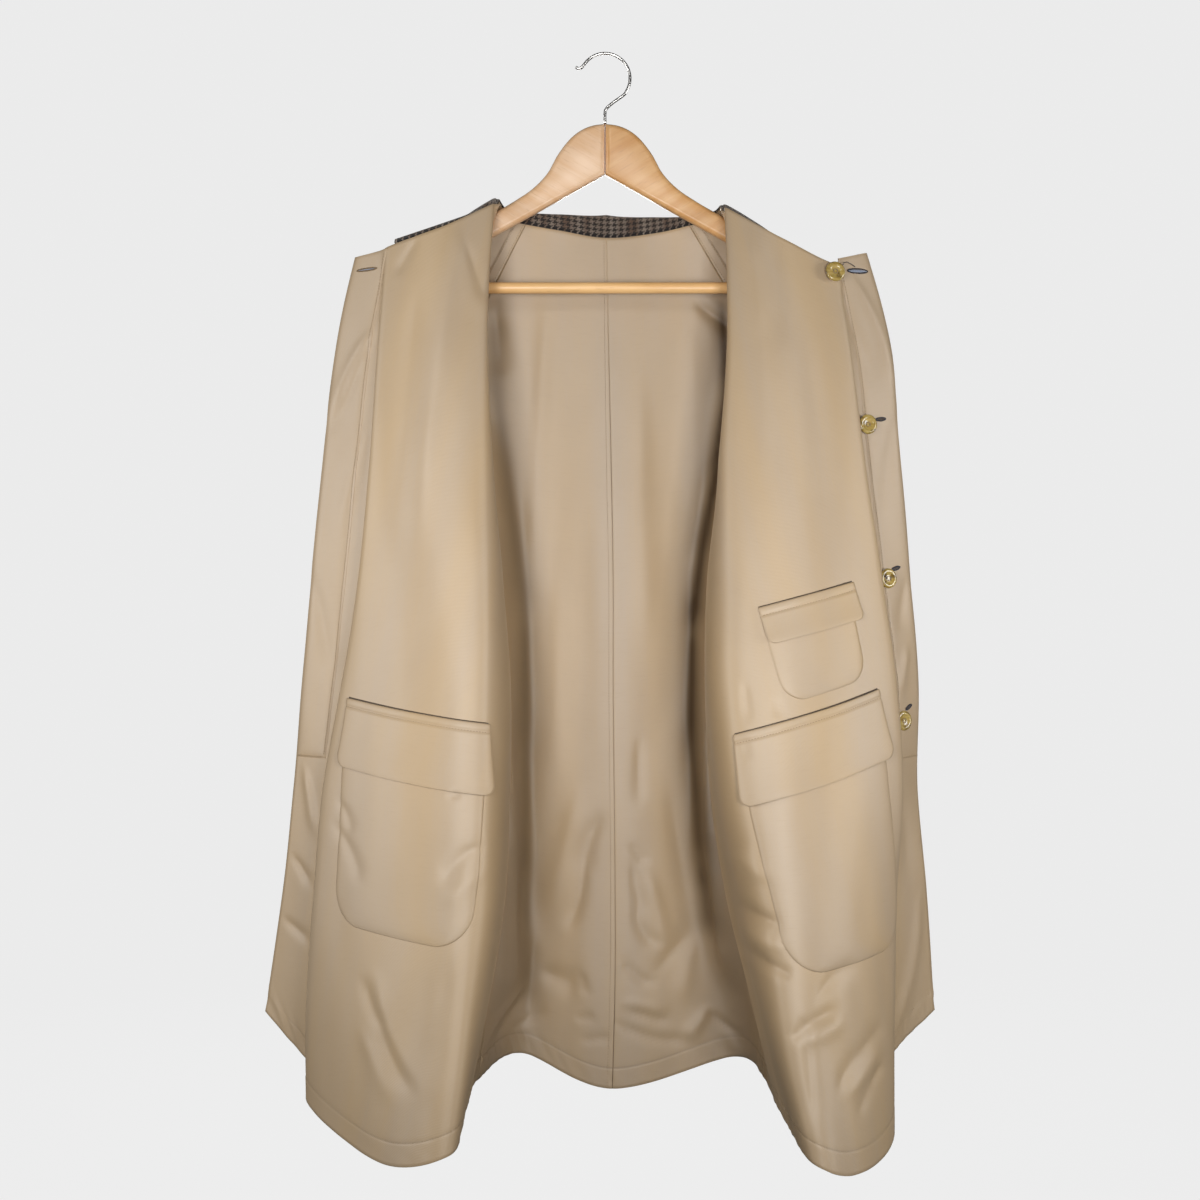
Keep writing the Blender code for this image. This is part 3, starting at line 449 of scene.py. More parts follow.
class Finish:
    """A material made of nodes, whose values are links, numbers or colours."""

    def __init__(self, name):
        self.material = bpy.data.materials.new(name)
        self.material.use_nodes = True
        self.tree = self.material.node_tree
        self.shader = self.tree.nodes["Principled BSDF"]

    def put(self, socket, value):
        if isinstance(value, bpy.types.NodeSocket):
            self.tree.links.new(value, socket)
        elif socket.type == "RGBA":
            socket.default_value = (*value, 1)
        else:
            socket.default_value = value

    def node(self, kind, output, inputs=None, **settings):
        """One output of a new node with its inputs and settings."""
        made = self.tree.nodes.new("ShaderNode" + kind)
        for name, value in settings.items():
            setattr(made, name, value)
        for name, value in (inputs or {}).items():
            self.put(made.inputs[name], value)
        return made.outputs[output]

    def math(self, operation, *values):
        return self.node("Math", 0, dict(enumerate(values)), operation=operation)

    def mixed(self, share, first, second):
        """A colour between two."""
        return self.node("Mix", 2, {0: share, 6: first, 7: second}, data_type="RGBA")

    def mapped(self, vector, scale=(1, 1, 1), turn=(0, 0, 0)):
        return self.node("Mapping", "Vector", {"Vector": vector, "Scale": scale, "Rotation": turn})

    def cloud(self, vector, scale, detail):
        inputs = {"Vector": vector, "Scale": scale, "Detail": detail, "Roughness": 0.55}
        return self.node("TexNoise", "Fac", inputs)

    def streaks(self, vector, scales, detail):
        """Clouds drawn out by a scale for each axis."""
        return self.cloud(self.mapped(vector, scales), 1.0, detail)

    def ramp(self, value, low, high):
        """A value stretched from low..high to 0..1."""
        return self.node("MapRange", "Result", {"Value": value, "From Min": low, "From Max": high})

    def bump(self, height, distance, strength):
        inputs = {"Height": height, "Distance": distance, "Strength": strength}
        return self.node("Bump", "Normal", inputs)

    def shade(self, inputs):
        """The material, with these values on its shader."""
        for name, value in inputs.items():
            self.put(self.shader.inputs[name], value)
        return self.material


GABARDINE_WARP = (0.478, 0.338, 0.188)
GABARDINE_WEFT = (0.446, 0.336, 0.224)
GABARDINE_SHADE = (0.375, 0.262, 0.152)
# The colour of the painted shade in the cloth's valleys, grooves and seams
GABARDINE_PAINTED_SHADE = (0.075, 0.045, 0.023)
TWILL_PITCH = 1.1 * MM
TWILL_ANGLE = math.radians(63)


def gabardine_finish():
    """Cotton gabardine: a steep fine twill of a golden warp and a greyer weft, with a soft sheen.

    Its painted shade attribute, from 0 to 1, darkens the colour and lowers the gloss where shade falls.
    """
    look = Finish("gabardine_twill")
    uv = look.node("UVMap", "UV")
    aside = look.node("SeparateXYZ", "X", {0: look.mapped(uv, turn=(0, 0, TWILL_ANGLE))})
    rib = look.math("SINE", look.math("MULTIPLY", aside, 2 * math.pi / TWILL_PITCH))
    rib = look.math("MULTIPLY_ADD", rib, 0.5, 0.5)
    slub = look.streaks(uv, (900, 60, 1), 2.0)
    pick = look.streaks(uv, (50, 700, 1), 2.0)
    bands = look.streaks(uv, (16, 1.1, 1), 1.5)
    streak = look.streaks(uv, (330, 14, 1), 2.0)
    share = look.math("MULTIPLY_ADD", slub, 0.5, -0.55)
    share = look.math("MULTIPLY_ADD", streak, 0.45, share)
    share = look.math("ADD", share, look.ramp(bands, 0.36, 0.64))
    share = look.math("MULTIPLY_ADD", rib, 0.25, share)
    colour = look.mixed(share, GABARDINE_WEFT, GABARDINE_WARP)
    worn = look.math("MULTIPLY", look.ramp(look.cloud(uv, 7.0, 3.0), 0.35, 0.75), 0.3)
    picked = look.math("MULTIPLY", look.ramp(pick, 0.55, 0.8), 0.25)
    for shaded in (worn, picked):
        colour = look.mixed(shaded, colour, GABARDINE_SHADE)
    # Painted shade: the attribute darkens the colour and lowers the gloss in the cloth's hollows
    painted_shade = look.node("Attribute", "Fac", attribute_name="painted_shade")
    height = look.math("MULTIPLY_ADD", slub, 0.6, rib)
    return look.shade({
        "Base Color": look.mixed(painted_shade, colour, GABARDINE_PAINTED_SHADE),
        "Roughness": 0.52,
        "Specular IOR Level": look.math("MULTIPLY_ADD", painted_shade, -0.75, 1.0),
        "Anisotropic": 0.2,
        "Anisotropic Rotation": 0.25,
        "Tangent": look.node("Tangent", "Tangent", direction_type="UV_MAP"),
        "Sheen Weight": 0.12,
        "Sheen Roughness": 0.4,
        "Sheen Tint": (1.0, 0.78, 0.45),
        "Normal": look.bump(height, 0.1 * MM, 0.45),
    })


TWEED_DARK = (0.009, 0.008, 0.009)
TWEED_LIGHT = (0.250, 0.208, 0.172)
TWEED_BROWN = (0.110, 0.066, 0.044)
TWEED_THREAD = 0.9 * MM
TWEED_STRIPE = 4
TWILL_REPEAT, TWILL_OVER = 4, 2


def tweed_finish():
    """Wool tweed in a small houndstooth: four dark and four light threads both ways, in a 2/2 twill."""
    look = Finish("houndstooth_tweed")
    uv = look.node("UVMap", "UV")
    counted = look.mapped(uv, (1 / TWEED_THREAD, 1 / TWEED_THREAD, 1))
    warp, weft = (look.math("FLOOR", look.node("SeparateXYZ", axis, {0: counted})) for axis in "XY")
    stripes = []
    for thread in (warp, weft):
        turn = look.math("FLOORED_MODULO", thread, 2 * TWEED_STRIPE)
        stripes.append(look.math("LESS_THAN", turn, TWEED_STRIPE))
    step = look.math("FLOORED_MODULO", look.math("SUBTRACT", warp, weft), TWILL_REPEAT)
    over = look.math("LESS_THAN", step, TWILL_OVER)
    dark = look.node("Mix", 0, {0: over, 2: stripes[1], 3: stripes[0]})
    heather = look.streaks(uv, (420, 420, 1), 3.0)
    stripe = look.streaks(uv, (55, 2, 1), 1.0)
    light = look.mixed(look.ramp(stripe, 0.4, 0.62), TWEED_LIGHT, TWEED_BROWN)
    light = look.mixed(look.ramp(heather, 0.5, 0.85), light, TWEED_LIGHT)
    fuzz = look.math("MULTIPLY_ADD", over, 0.4, heather)
    return look.shade({
        "Base Color": look.mixed(dark, light, TWEED_DARK),
        "Roughness": 0.9,
        "Specular IOR Level": 0.2,
        "Sheen Weight": 0.25,
        "Sheen Roughness": 0.6,
        "Sheen Tint": (0.9, 0.82, 0.75),
        "Normal": look.bump(fuzz, 0.35 * MM, 0.8),
    })


def thread_finish(name, colour, shade):
    """Twisted sewing thread."""
    look = Finish(name)
    twist = look.cloud(look.node("TexCoord", "Object"), 1400.0, 2.0)
    return look.shade({
        "Base Color": look.mixed(twist, colour, shade),
        "Roughness": 0.6,
        "Sheen Weight": 0.2,
        "Normal": look.bump(twist, 0.1 * MM, 0.5),
    })


def beech_finish(name, pale, warm, dark, turn):
    """Varnished beech: long grain along the arm, fine pores and a few dark flecks."""
    look = Finish(name)
    along = look.mapped(look.node("TexCoord", "Object"), turn=(0, math.radians(turn), 0))
    grain = look.streaks(along, (7, 40, 90), 4.0)
    pores = look.streaks(along, (60, 500, 900), 2.0)
    base = look.mixed(look.ramp(grain, 0.35, 0.68), pale, warm)
    fleck = look.math("MULTIPLY", look.ramp(pores, 0.58, 0.75), 0.45)
    tone = look.math("MULTIPLY", look.ramp(look.cloud(along, 14.0, 2.0), 0.45, 0.8), 0.3)
    for darker in (fleck, tone):
        base = look.mixed(darker, base, dark)
    return look.shade({
        "Base Color": base,
        "Roughness": look.math("MULTIPLY_ADD", grain, 0.2, 0.28),
        "Coat Weight": 0.25,
        "Coat Roughness": 0.2,
        "Normal": look.bump(pores, 0.12 * MM, 0.5),
    })


HORN_OLIVE = (0.290, 0.190, 0.036)
HORN_PALE = (0.500, 0.370, 0.125)
HORN_BROWN = (0.045, 0.018, 0.006)


def horn_finish():
    """Polished horn: olive yellow with brown clouds and pale streaks."""
    look = Finish("polished_horn")
    place = look.node("TexCoord", "Object")
    streak = look.streaks(place, (80, 80, 420), 3.0)
    base = look.mixed(look.ramp(streak, 0.3, 0.7), HORN_OLIVE, HORN_PALE)
    clouded = look.ramp(look.cloud(place, 120.0, 3.0), 0.55, 0.72)
    return look.shade({
        "Base Color": look.mixed(clouded, base, HORN_BROWN),
        "Roughness": look.math("MULTIPLY_ADD", streak, 0.15, 0.14),
        "Coat Weight": 0.5,
        "Coat Roughness": 0.08,
        "Subsurface Weight": 0.1,
        "Subsurface Radius": (0.004, 0.002, 0.001),
    })


WIRE_DULL = (0.60, 0.58, 0.55)
WIRE_BRIGHT = (0.78, 0.77, 0.75)


def wire_finish():
    """Bright drawn wire with faint rubbed streaks."""
    look = Finish("bright_wire")
    rub = look.cloud(look.node("TexCoord", "Object"), 260.0, 3.0)
    return look.shade({
        "Base Color": look.mixed(rub, WIRE_DULL, WIRE_BRIGHT),
        "Metallic": 1.0,
        "Roughness": look.math("MULTIPLY_ADD", rub, 0.25, 0.12),
    })


def backdrop_finish():
    return Finish("pale_backdrop").shade({
        "Base Color": (0.02, 0.02, 0.02),
        "Roughness": 1.0,
        "Specular IOR Level": 0.0,
        "Emission Color": (1, 1, 1),
        "Emission Strength": 0.83,
    })


GABARDINE = gabardine_finish()
TWEED = tweed_finish()
KHAKI_THREAD = thread_finish("khaki_thread", (0.27, 0.18, 0.095), (0.19, 0.125, 0.065))
PALE_THREAD = thread_finish("pale_khaki_thread", (0.38, 0.27, 0.155), (0.30, 0.21, 0.115))
NAVY_THREAD = thread_finish("navy_thread", (0.009, 0.008, 0.014), (0.034, 0.030, 0.046))
SLIT_BLUE = thread_finish("pale_blue_edge", (0.34, 0.38, 0.46), (0.16, 0.19, 0.26))
# Painted shadow: a dark finish for the slits above the flaps and in the short buttonholes
POCKET_PAINTED_SHADOW = thread_finish("pocket_slit_painted_shadow", (0.085, 0.055, 0.030), (0.060, 0.040, 0.022))
HORN = horn_finish()
WIRE = wire_finish()
BEECH = {
    "left": beech_finish("beech_left", (0.74, 0.50, 0.31), (0.66, 0.40, 0.21), (0.44, 0.24, 0.11), -30),
    "right": beech_finish("beech_right", (0.70, 0.42, 0.19), (0.60, 0.31, 0.11), (0.40, 0.19, 0.07), 30),
    "bar": beech_finish("beech_bar", (0.95, 0.61, 0.28), (0.86, 0.50, 0.20), (0.60, 0.32, 0.12), 0),
}


# Curves through table points, for many places at once


def hermite(first, last, leaving, arriving, t):
    return (
        (1 + 2 * t) * (1 - t) ** 2 * first
        + t * (1 - t) ** 2 * leaving
        + t * t * (3 - 2 * t) * last
        + t * t * (t - 1) * arriving
    )


def through(knots, values, at):
    """Cubic curve through values at ascending knots, with central differences as its slopes."""
    knots, values, at = (np.asarray(item, float) for item in (knots, values, at))
    slopes = np.gradient(values, knots, axis=0)
    i = np.clip(np.searchsorted(knots, at) - 1, 0, len(knots) - 2)
    extra = (1,) * (values.ndim - 1)
    span = (knots[i + 1] - knots[i]).reshape(at.shape + extra)
    t = (at - knots[i]).reshape(at.shape + extra) / span
    return hermite(values[i], values[i + 1], slopes[i] * span, slopes[i + 1] * span, t)


def across(folds, at):
    """Cubic curve through each point's own row of folds, where at counts the folds."""
    folds = np.asarray(folds, float)
    slopes = np.gradient(folds, axis=0)
    i = np.clip(np.ceil(at).astype(int) - 1, 0, len(folds) - 2)
    n = np.arange(len(at))
    t = (at - i)[:, None]
    return hermite(folds[i, n], folds[i + 1, n], slopes[i, n], slopes[i + 1, n], t)


def ease(share):
    share = np.clip(share, 0, 1)
    return share * share * (3 - 2 * share)


def bell(x):
    """1 at 0, falling off to both sides."""
    return np.exp(-(x**2))


def unit(vectors):
    return vectors / np.maximum(np.linalg.norm(vectors, axis=-1, keepdims=True), 1e-9)


def every_place(columns, rows):
    """Each column with each row, as two flat lists."""
    return [item.ravel() for item in np.meshgrid(columns, rows, indexing="ij")]


def grid_normals(grid):
    normals = np.cross(np.gradient(grid, axis=0), np.gradient(grid, axis=1))
    return unit(normals).reshape(-1, 3)


# Body panels


SIDES = {
    "left": (LEFT_SECTIONS, LEFT_NECK, LEFT_HEM),
    "right": (RIGHT_SECTIONS, RIGHT_NECK, RIGHT_HEM),
}
OTHER = {"left": "right", "right": "left"}
FRONT_FOLDS = ("edge", "hollow", "bulge", "middle", "fold", "ridge", "front_seam")
FOLD_PLACE = FRONT_FOLDS.index("fold")
SEAM_PLACE = FRONT_FOLDS.index("front_seam")
COLLAR_START = FRONT_FOLDS.index("bulge")
BACK_CENTRE = 2


def fold_line(side, fold, z):
    """(x, y) of one fold of one half at each height. A seam has a corner at the underarm."""
    rows = SIDES[side][0]
    places = CENTRE_BACK if fold == "centre" else [getattr(row, fold) for row in rows]
    heights = np.array([row.height for row in rows])[::-1] * MM
    points = np.array(places, float)[::-1] * MM
    if not fold.endswith("seam"):
        return through(heights, points, z)
    upper, lower = heights >= UNDERARM, heights <= UNDERARM
    above = through(heights[upper], points[upper], z)
    below = through(heights[lower], points[lower], z)
    return np.where((z > UNDERARM)[:, None], above, below)


def past_seam(side, seam, own, other, z):
    """The point after a seam: the cloth runs straight on above the underarm, and turns below it."""
    turned = ease((UNDERARM - z) / SEAM_TURN)[:, None]
    straight = 2 * fold_line(side, seam, z) - fold_line(side, own, z)
    return (1 - turned) * straight + turned * fold_line(side, other, z)


def front_base(side, u, z):
    """The middle of the front's wall: u runs from 0 at the front edge to 6 at the side seam."""
    folds = [fold_line(side, fold, z) for fold in FRONT_FOLDS]
    folds.append(past_seam(side, "front_seam", "ridge", "back", z))
    return np.column_stack([across(folds, u), z])


def back_base(side, u, z):
    """The middle of the back's wall: u runs from 0 at the side seam to 2 at the centre back."""
    folds = [past_seam(side, "back_seam", "back", "ridge", z)]
    folds += [fold_line(side, fold, z) for fold in ("back_seam", "back", "centre")]
    folds.append(fold_line(OTHER[side], "back", z))
    return np.column_stack([across(folds, u + 1), z])


def inside_normal(base, side, u, z, step=0.004):
    """Unit normals of a body panel on its gabardine side. The right half runs the other way round."""
    along = base(side, u + step, z) - base(side, u - step, z)
    rise = base(side, u, z + step) - base(side, u, z - step)
    return unit(np.cross(along, rise)) * (1 if side == "left" else -1)


def front_ends(side, u):
    """Heights of a front's neckline and hem."""
    knots = np.arange(len(FRONT_FOLDS))
    return [
        through(knots, [getattr(table, fold) * MM for fold in FRONT_FOLDS], u) for table in SIDES[side][1:]
    ]


def back_ends(side, u):
    """Heights of the back's neckline and hem."""
    ends = []
    own, other = SIDES[side][1:], SIDES[OTHER[side]][1:]
    for table, twin, centre in zip(own, other, (CENTRE_NECK, CENTRE_HEM)):
        heights = [table.back_seam, table.back, centre, twin.back, twin.back_seam]
        ends.append(through(np.arange(5), np.array(heights) * MM, u))
    return ends


BODY = {"front": (front_base, front_ends, SEAM_PLACE), "back": (back_base, back_ends, 0)}


# Creases and slack


def crease_share(points, crease):
    """1 on a crease's line, falling off to both sides and to its ends, in the picture's plane.

    It is a quarter narrower than its width where it starts, and a quarter wider where it ends.
    """
    start, end = np.array(crease.start) * MM, np.array(crease.end) * MM
    line = end - start
    flat = points[:, [0, 2]] - start
    along = flat @ line / (line @ line)
    aside = (flat[:, 0] * line[1] - flat[:, 1] * line[0]) / np.linalg.norm(line)
    within = np.clip(along, 0, 1)
    aside = aside - crease.bow * MM * 4 * within * (1 - within)
    width = crease.width * MM * (0.75 + 0.5 * within)
    ends = ease((along + 0.25) / 0.5) * ease((1.25 - along) / 0.5)
    return np.exp(-np.abs(aside / width) ** 1.7) * ends


def slack(points):
    """Uneven softness of cloth that hangs: long, mostly upright swells."""
    total = np.zeros(len(points))
    for number, length in enumerate(SLACK_LENGTHS):
        scaled = points / length * SLACK_SQUASH
        shift = Vector((7.3 * number, 3.1, 1.7))
        total += np.array([noise.noise(Vector(point) + shift) for point in scaled]) * 0.5**number
    return total * SLACK


def relief(panel, points, normals, free):
    """How far creases and slack move a panel's cloth along its normal, with creases where it is free."""
    shown = np.clip(-3 * normals[:, 1], 0, 1) * free
    total = slack(points)
    for crease in CREASES[panel]:
        total = total + shown * crease.height * MM * crease_share(points, crease)
    return total


def painted_shade_share(panel, points):
    """The painted shade of a panel's cloth in the valleys beside the rolled fronts, from 0 to 1."""
    total = np.zeros(len(points))
    for crease in PAINTED_SHADE_LINES.get(panel, ()):
        total = total + crease.height * crease_share(points, crease)
    return np.minimum(total, PAINTED_SHADE_MOST)


def pucker_share(half, u):
    """Hems pucker on their curves, and lie flat across the face of a front and at the centre back."""
    if half == "front":
        return 0.1 + 0.9 * (ease((1.8 - u) / 0.6) + ease((u - 4.1) / 0.5))
    return 0.25 + 0.75 * ease((1.4 - u) / 0.6)


def pucker(points, from_hem):
    """Small slanting waves that the sewing draws up in a hem's band."""
    along = points[:, 0] + 0.8 * points[:, 1] + 0.5 * from_hem
    turn = 2 * math.pi * along / PUCKER_LENGTH
    uneven = 1.4 * np.sin(turn * 0.37 + 1.0)
    inside = (from_hem - 0.55 * HEM_BAND) / (0.55 * HEM_BAND)
    return PUCKER * np.sin(turn + uneven) * bell(inside)


SEAM_HOLD = 0.3


def on_panel(side, half, u, z, height=0.0):
    """Points over a body panel with its creases, moved out by a height, and their normals."""
    base, ends, seam = BODY[half]
    points = base(side, u, z)
    normals = inside_normal(base, side, u, z)
    hem = ends(side, u)[1]
    free = ease(np.abs(u - seam) / SEAM_HOLD)
    lift = relief(f"{half}_{side}", points, normals, free) + pucker_share(half, u) * pucker(points, z - hem)
    return points + normals * (lift + height)[:, None], normals


# Meshes from shapes and curves


def mesh_of(shape, name):
    mesh = bpy.data.meshes.new(name)
    shape.to_mesh(mesh)
    shape.free()
    return mesh


def round_curve(name, radius, rounding=1):
    curve = bpy.data.curves.new(name, "CURVE")
    curve.dimensions = "3D"
    curve.bevel_depth = radius
    curve.bevel_resolution = rounding
    curve.use_fill_caps = True
    return curve


def add_run(curve, route, widths):
    """A length of thread or wire through points, with a share of the curve's radius at each."""
    spline = curve.splines.new("POLY")
    spline.points.add(len(route) - 1)
    for point, place, width in zip(spline.points, route, widths):
        point.co = (*place, 1)
        point.radius = width


def mesh_of_curve(name, curve, turn=None):
    """A welded mesh of a curve, with its place applied."""
    guide = bpy.data.objects.new(name + "_guide", curve)
    bpy.context.scene.collection.objects.link(guide)
    bpy.context.view_layer.update()
    shown = guide.evaluated_get(bpy.context.evaluated_depsgraph_get())
    mesh = bpy.data.meshes.new_from_object(shown)
    bpy.data.objects.remove(guide)
    welded = bmesh.new()
    welded.from_mesh(mesh)
    bmesh.ops.remove_doubles(welded, verts=welded.verts[:], dist=1e-6)
    if turn is not None:
        bmesh.ops.transform(welded, matrix=turn, verts=welded.verts[:])
    bmesh.ops.recalc_face_normals(welded, faces=welded.faces[:])
    mesh.clear_geometry()
    mesh.materials.clear()
    welded.to_mesh(mesh)
    welded.free()
    return mesh


def laid_grid(shape, points):
    """Fill a bmesh with faces over a grid of points, and give each vertex with its place in the grid."""
    wide, down = points.shape[0] - 1, points.shape[1] - 1
    bmesh.ops.create_grid(shape, x_segments=wide, y_segments=down, size=0.5)
    placed = []
    for vert in shape.verts:
        place = round((vert.co.x + 0.5) * wide), round((vert.co.y + 0.5) * down)
        vert.co = points[place]
        placed.append((vert, place))
    return placed


# Pieces of cloth


COAT = bpy.data.collections.new("balmacaan_coat_looks")
bpy.context.scene.collection.children.link(COAT)


def add_piece(name, mesh, finishes, nodes=()):
    piece = bpy.data.objects.new(name, mesh)
    for finish in finishes:
        mesh.materials.append(finish)
    mesh.shade_smooth()
    COAT.objects.link(piece)
    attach(piece, "root")
    if nodes:
        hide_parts(*nodes)
    return piece


def run_lengths(points, axis):
    steps = np.linalg.norm(np.diff(points, axis=axis), axis=2)
    start = np.zeros_like(np.take(steps, [0], axis=axis))
    return np.cumsum(np.concatenate([start, steps], axis=axis), axis=axis)


def cloth(name, points, flip, thickness, finishes, nodes, grain=0, painted_shade=None):
    """A sheet over a grid of points, with its UV map in metres along the cloth, and a wall's thickness.

    The straight grain runs along one column of the grid, and the other side has the last finish.
    """
    widths, lengths = run_lengths(points, 0), run_lengths(points, 1)
    widths = widths - widths[grain]
    grid = bmesh.new()
    uv = grid.loops.layers.uv.verify()
    # A vertex attribute carries the painted shade, zero where none is given
    depth = grid.verts.layers.float.new("painted_shade")
    for vert, place in laid_grid(grid, points):
        vert[depth] = 0 if painted_shade is None else painted_shade[place]
        for loop in vert.link_loops:
            loop[uv].uv = (widths[place], lengths[place])
    if flip:
        bmesh.ops.reverse_faces(grid, faces=grid.faces[:])
    piece = add_piece(name, mesh_of(grid, name), finishes, nodes)
    wall = piece.modifiers.new("wall", "SOLIDIFY")
    wall.thickness = thickness
    wall.offset = 0
    wall.material_offset = len(finishes) - 1
    even = piece.modifiers.new("even_shading", "WEIGHTED_NORMAL")
    even.weight = 100
    return piece


def steps_between(counts):
    """Places with a count of steps between each fold and the next."""
    places = [0.0]
    for fold, count in enumerate(counts):
        places += [fold + (k + 1) / count for k in range(count)]
    return np.array(places)


# The grid of a body panel: steps between its folds, distances of the columns by the centre seam in
# millimetres, and rows above and in the hem's band
FRONT_STEPS = (16, 12, 30, 30, 24, 18)
BACK_STEPS = (24, 24)
CENTRE_STEPS = (7, 4.2, 2.6, 1.5, 0.8, 0.35)
LEAST_STEP = 0.01
BODY_ROWS, HEM_ROWS = 250, 6
PANEL_LENGTH = 0.92


def panel_rows():
    """Shares of a panel's length, close together at the hem's sewn line."""
    band, reach = HEM_BAND / PANEL_LENGTH, GROOVE_REACH / PANEL_LENGTH
    upper = np.linspace(0, 1 - band - reach, BODY_ROWS)
    lower = np.linspace(1 - band + 2 * reach, 1, HEM_ROWS)
    return np.concatenate([upper, [1 - band, 1 - band + reach], lower])


def body_panel(side, half):
    """A front, or half of the back, with its hem's band and, on the back, its side of the seam."""
    _, ends, _ = BODY[half]
    columns = steps_between(FRONT_STEPS if half == "front" else BACK_STEPS)
    if half == "back":
        near = [BACK_CENTRE - step / BACK_REACH for step in CENTRE_STEPS]
        columns = np.concatenate([columns[columns < near[0] - LEAST_STEP], near, [BACK_CENTRE]])
    rows = panel_rows()
    u, v = every_place(columns, rows)
    top, bottom = ends(side, u)
    z = top + (bottom - top) * v
    from_hem = z - bottom
    from_centre = (BACK_CENTRE - u) * BACK_REACH * MM
    sewn = bell((from_hem - HEM_BAND) / GROOVE_WIDTH)
    height = HEM_STEP * (from_hem < HEM_BAND) - GROOVE * sewn
    if half == "back":
        height = height - SEAM_DIP * bell(from_centre / SEAM_DIP_REACH)
    points, _ = on_panel(side, half, u, z, height)
    node = f"{half}_{side}"
    # Painted shade: in the valleys beside the rolled fronts, in the hem's groove, on a front's inner side
    # and along the centre back seam
    painted_shade = np.maximum(painted_shade_share(node, points), HEM_PAINTED_SHADE * sewn**2)
    if half == "front":
        painted_shade = painted_shade + INNER_PAINTED_SHADE * bell((u - INNER_MIDDLE) / INNER_REACH)
    else:
        painted_shade = np.maximum(painted_shade, SEAM_PAINTED_SHADE * (from_centre < SEAM_LINE))
    painted_shade = painted_shade.reshape(len(columns), len(rows))
    points = points.reshape(len(columns), len(rows), 3)
    faces = (GABARDINE, TWEED)
    grain = -1 if half == "back" else 0
    piece = cloth(f"{node}_cloth", points, side == "left", WALL, faces, (node,), grain, painted_shade)
    if half == "back":
        piece.modifiers["wall"].material_offset_rim = 1


# Raglan sleeves


STATION_PLACES = np.arange(len(SLEEVE_STATIONS))


def mirrored(points, side):
    """Left-hand points, or their twins on the right."""
    return points if side == "left" else points * (-1, 1, 1) + (MIRROR_X, 0, 0)


def seam_share(t):
    shares = [row.seam_share for row in SLEEVE_STATIONS[: UNDERARM_STATION + 1]]
    return through(STATION_PLACES[: UNDERARM_STATION + 1], shares, np.minimum(t, UNDERARM_STATION))


def sleeve_seam(side, half, t):
    """Where the sleeve's half meets the body, and below the underarm its underarm seam."""
    _, ends, u = BODY[half]
    top, bottom = (float(end[0]) for end in ends(side, np.array([float(u)])))
    share = (UNDERARM - top) / (bottom - top)
    z = top + (bottom - top) * seam_share(t) * share
    raglan = np.column_stack([fold_line(side, f"{half}_seam", np.maximum(z, UNDERARM + 1e-6)), z])
    rows = SLEEVE_STATIONS[UNDERARM_STATION:]
    places = STATION_PLACES[UNDERARM_STATION:]
    tube = mirrored(through(places, np.array([row.underarm for row in rows]) * MM, t), side)
    return np.where((t < UNDERARM_STATION)[:, None], raglan, tube)


def sleeve_base(side, half, w, t):
    """The middle of the sleeve's wall: w runs from 0 at the overarm to 1 at the body or underarm."""
    overarm = through(STATION_PLACES, np.array([row.overarm for row in SLEEVE_STATIONS]) * MM, t)
    overarm = mirrored(overarm, side)
    if side == "right":
        overarm[:, 2] += through(STATION_PLACES, np.array(RIGHT_SHOULDER_DROP) * MM, t)
    seam = sleeve_seam(side, half, t)
    outs = [row.front_out if half == "front" else row.back_out for row in SLEEVE_STATIONS]
    reach = through(STATION_PLACES, np.array(outs) * MM, t)[:, None]
    out = reach * np.array([0, -1 if half == "front" else 1, 0])
    start, end = overarm + out, seam + out
    inward = fold_line(side, "ridge" if half == "front" else "back", seam[:, 2]) - seam[:, :2]
    straight = seam - np.column_stack([unit(inward), np.zeros(len(t))]) * reach
    bent = np.where(t < UNDERARM_STATION, ease(seam_share(t)), 1)[:, None]
    end = straight + (end - straight) * bent
    w = w[:, None]
    near, far = 3 * w * (1 - w) ** 2, 3 * w * w * (1 - w)
    return (1 - w) ** 3 * overarm + near * start + far * end + w**3 * seam


SLEEVE_WIDE, SLEEVE_DOWN = 28, 120
SLEEVE_WAVE = 2.2 * MM
ELBOW_PLACE, ELBOW_REACH = 5.6, 1.3
ELBOW_TURNS, ELBOW_SLANT = 9.0, 4.0


def sleeve_panel(side, half):
    """Half of a sleeve, with soft waves at its elbow, held along its two seams."""
    columns = np.linspace(0, 1, SLEEVE_WIDE + 1)
    rows = np.linspace(0, STATION_PLACES[-1], SLEEVE_DOWN + 1)
    w, t = every_place(columns, rows)
    points = sleeve_base(side, half, w, t)
    normals = grid_normals(points.reshape(len(columns), len(rows), 3))
    arch = np.sin(math.pi * w)
    elbow = bell((t - ELBOW_PLACE) / ELBOW_REACH) * arch
    wave = SLEEVE_WAVE * elbow * np.sin(ELBOW_TURNS * t + ELBOW_SLANT * w)
    points = points + normals * (arch**0.5 * (wave + slack(points)))[:, None]
    node = f"sleeve_{side}_{half}"
    inward = (side == "left") == (half == "front")
    grid = points.reshape(len(columns), len(rows), 3)
    piece = cloth(f"{node}_cloth", grid, not inward, WALL, (GABARDINE, TWEED), (node,))


TAPE_WIDE, TAPE_DOWN = 5, 40


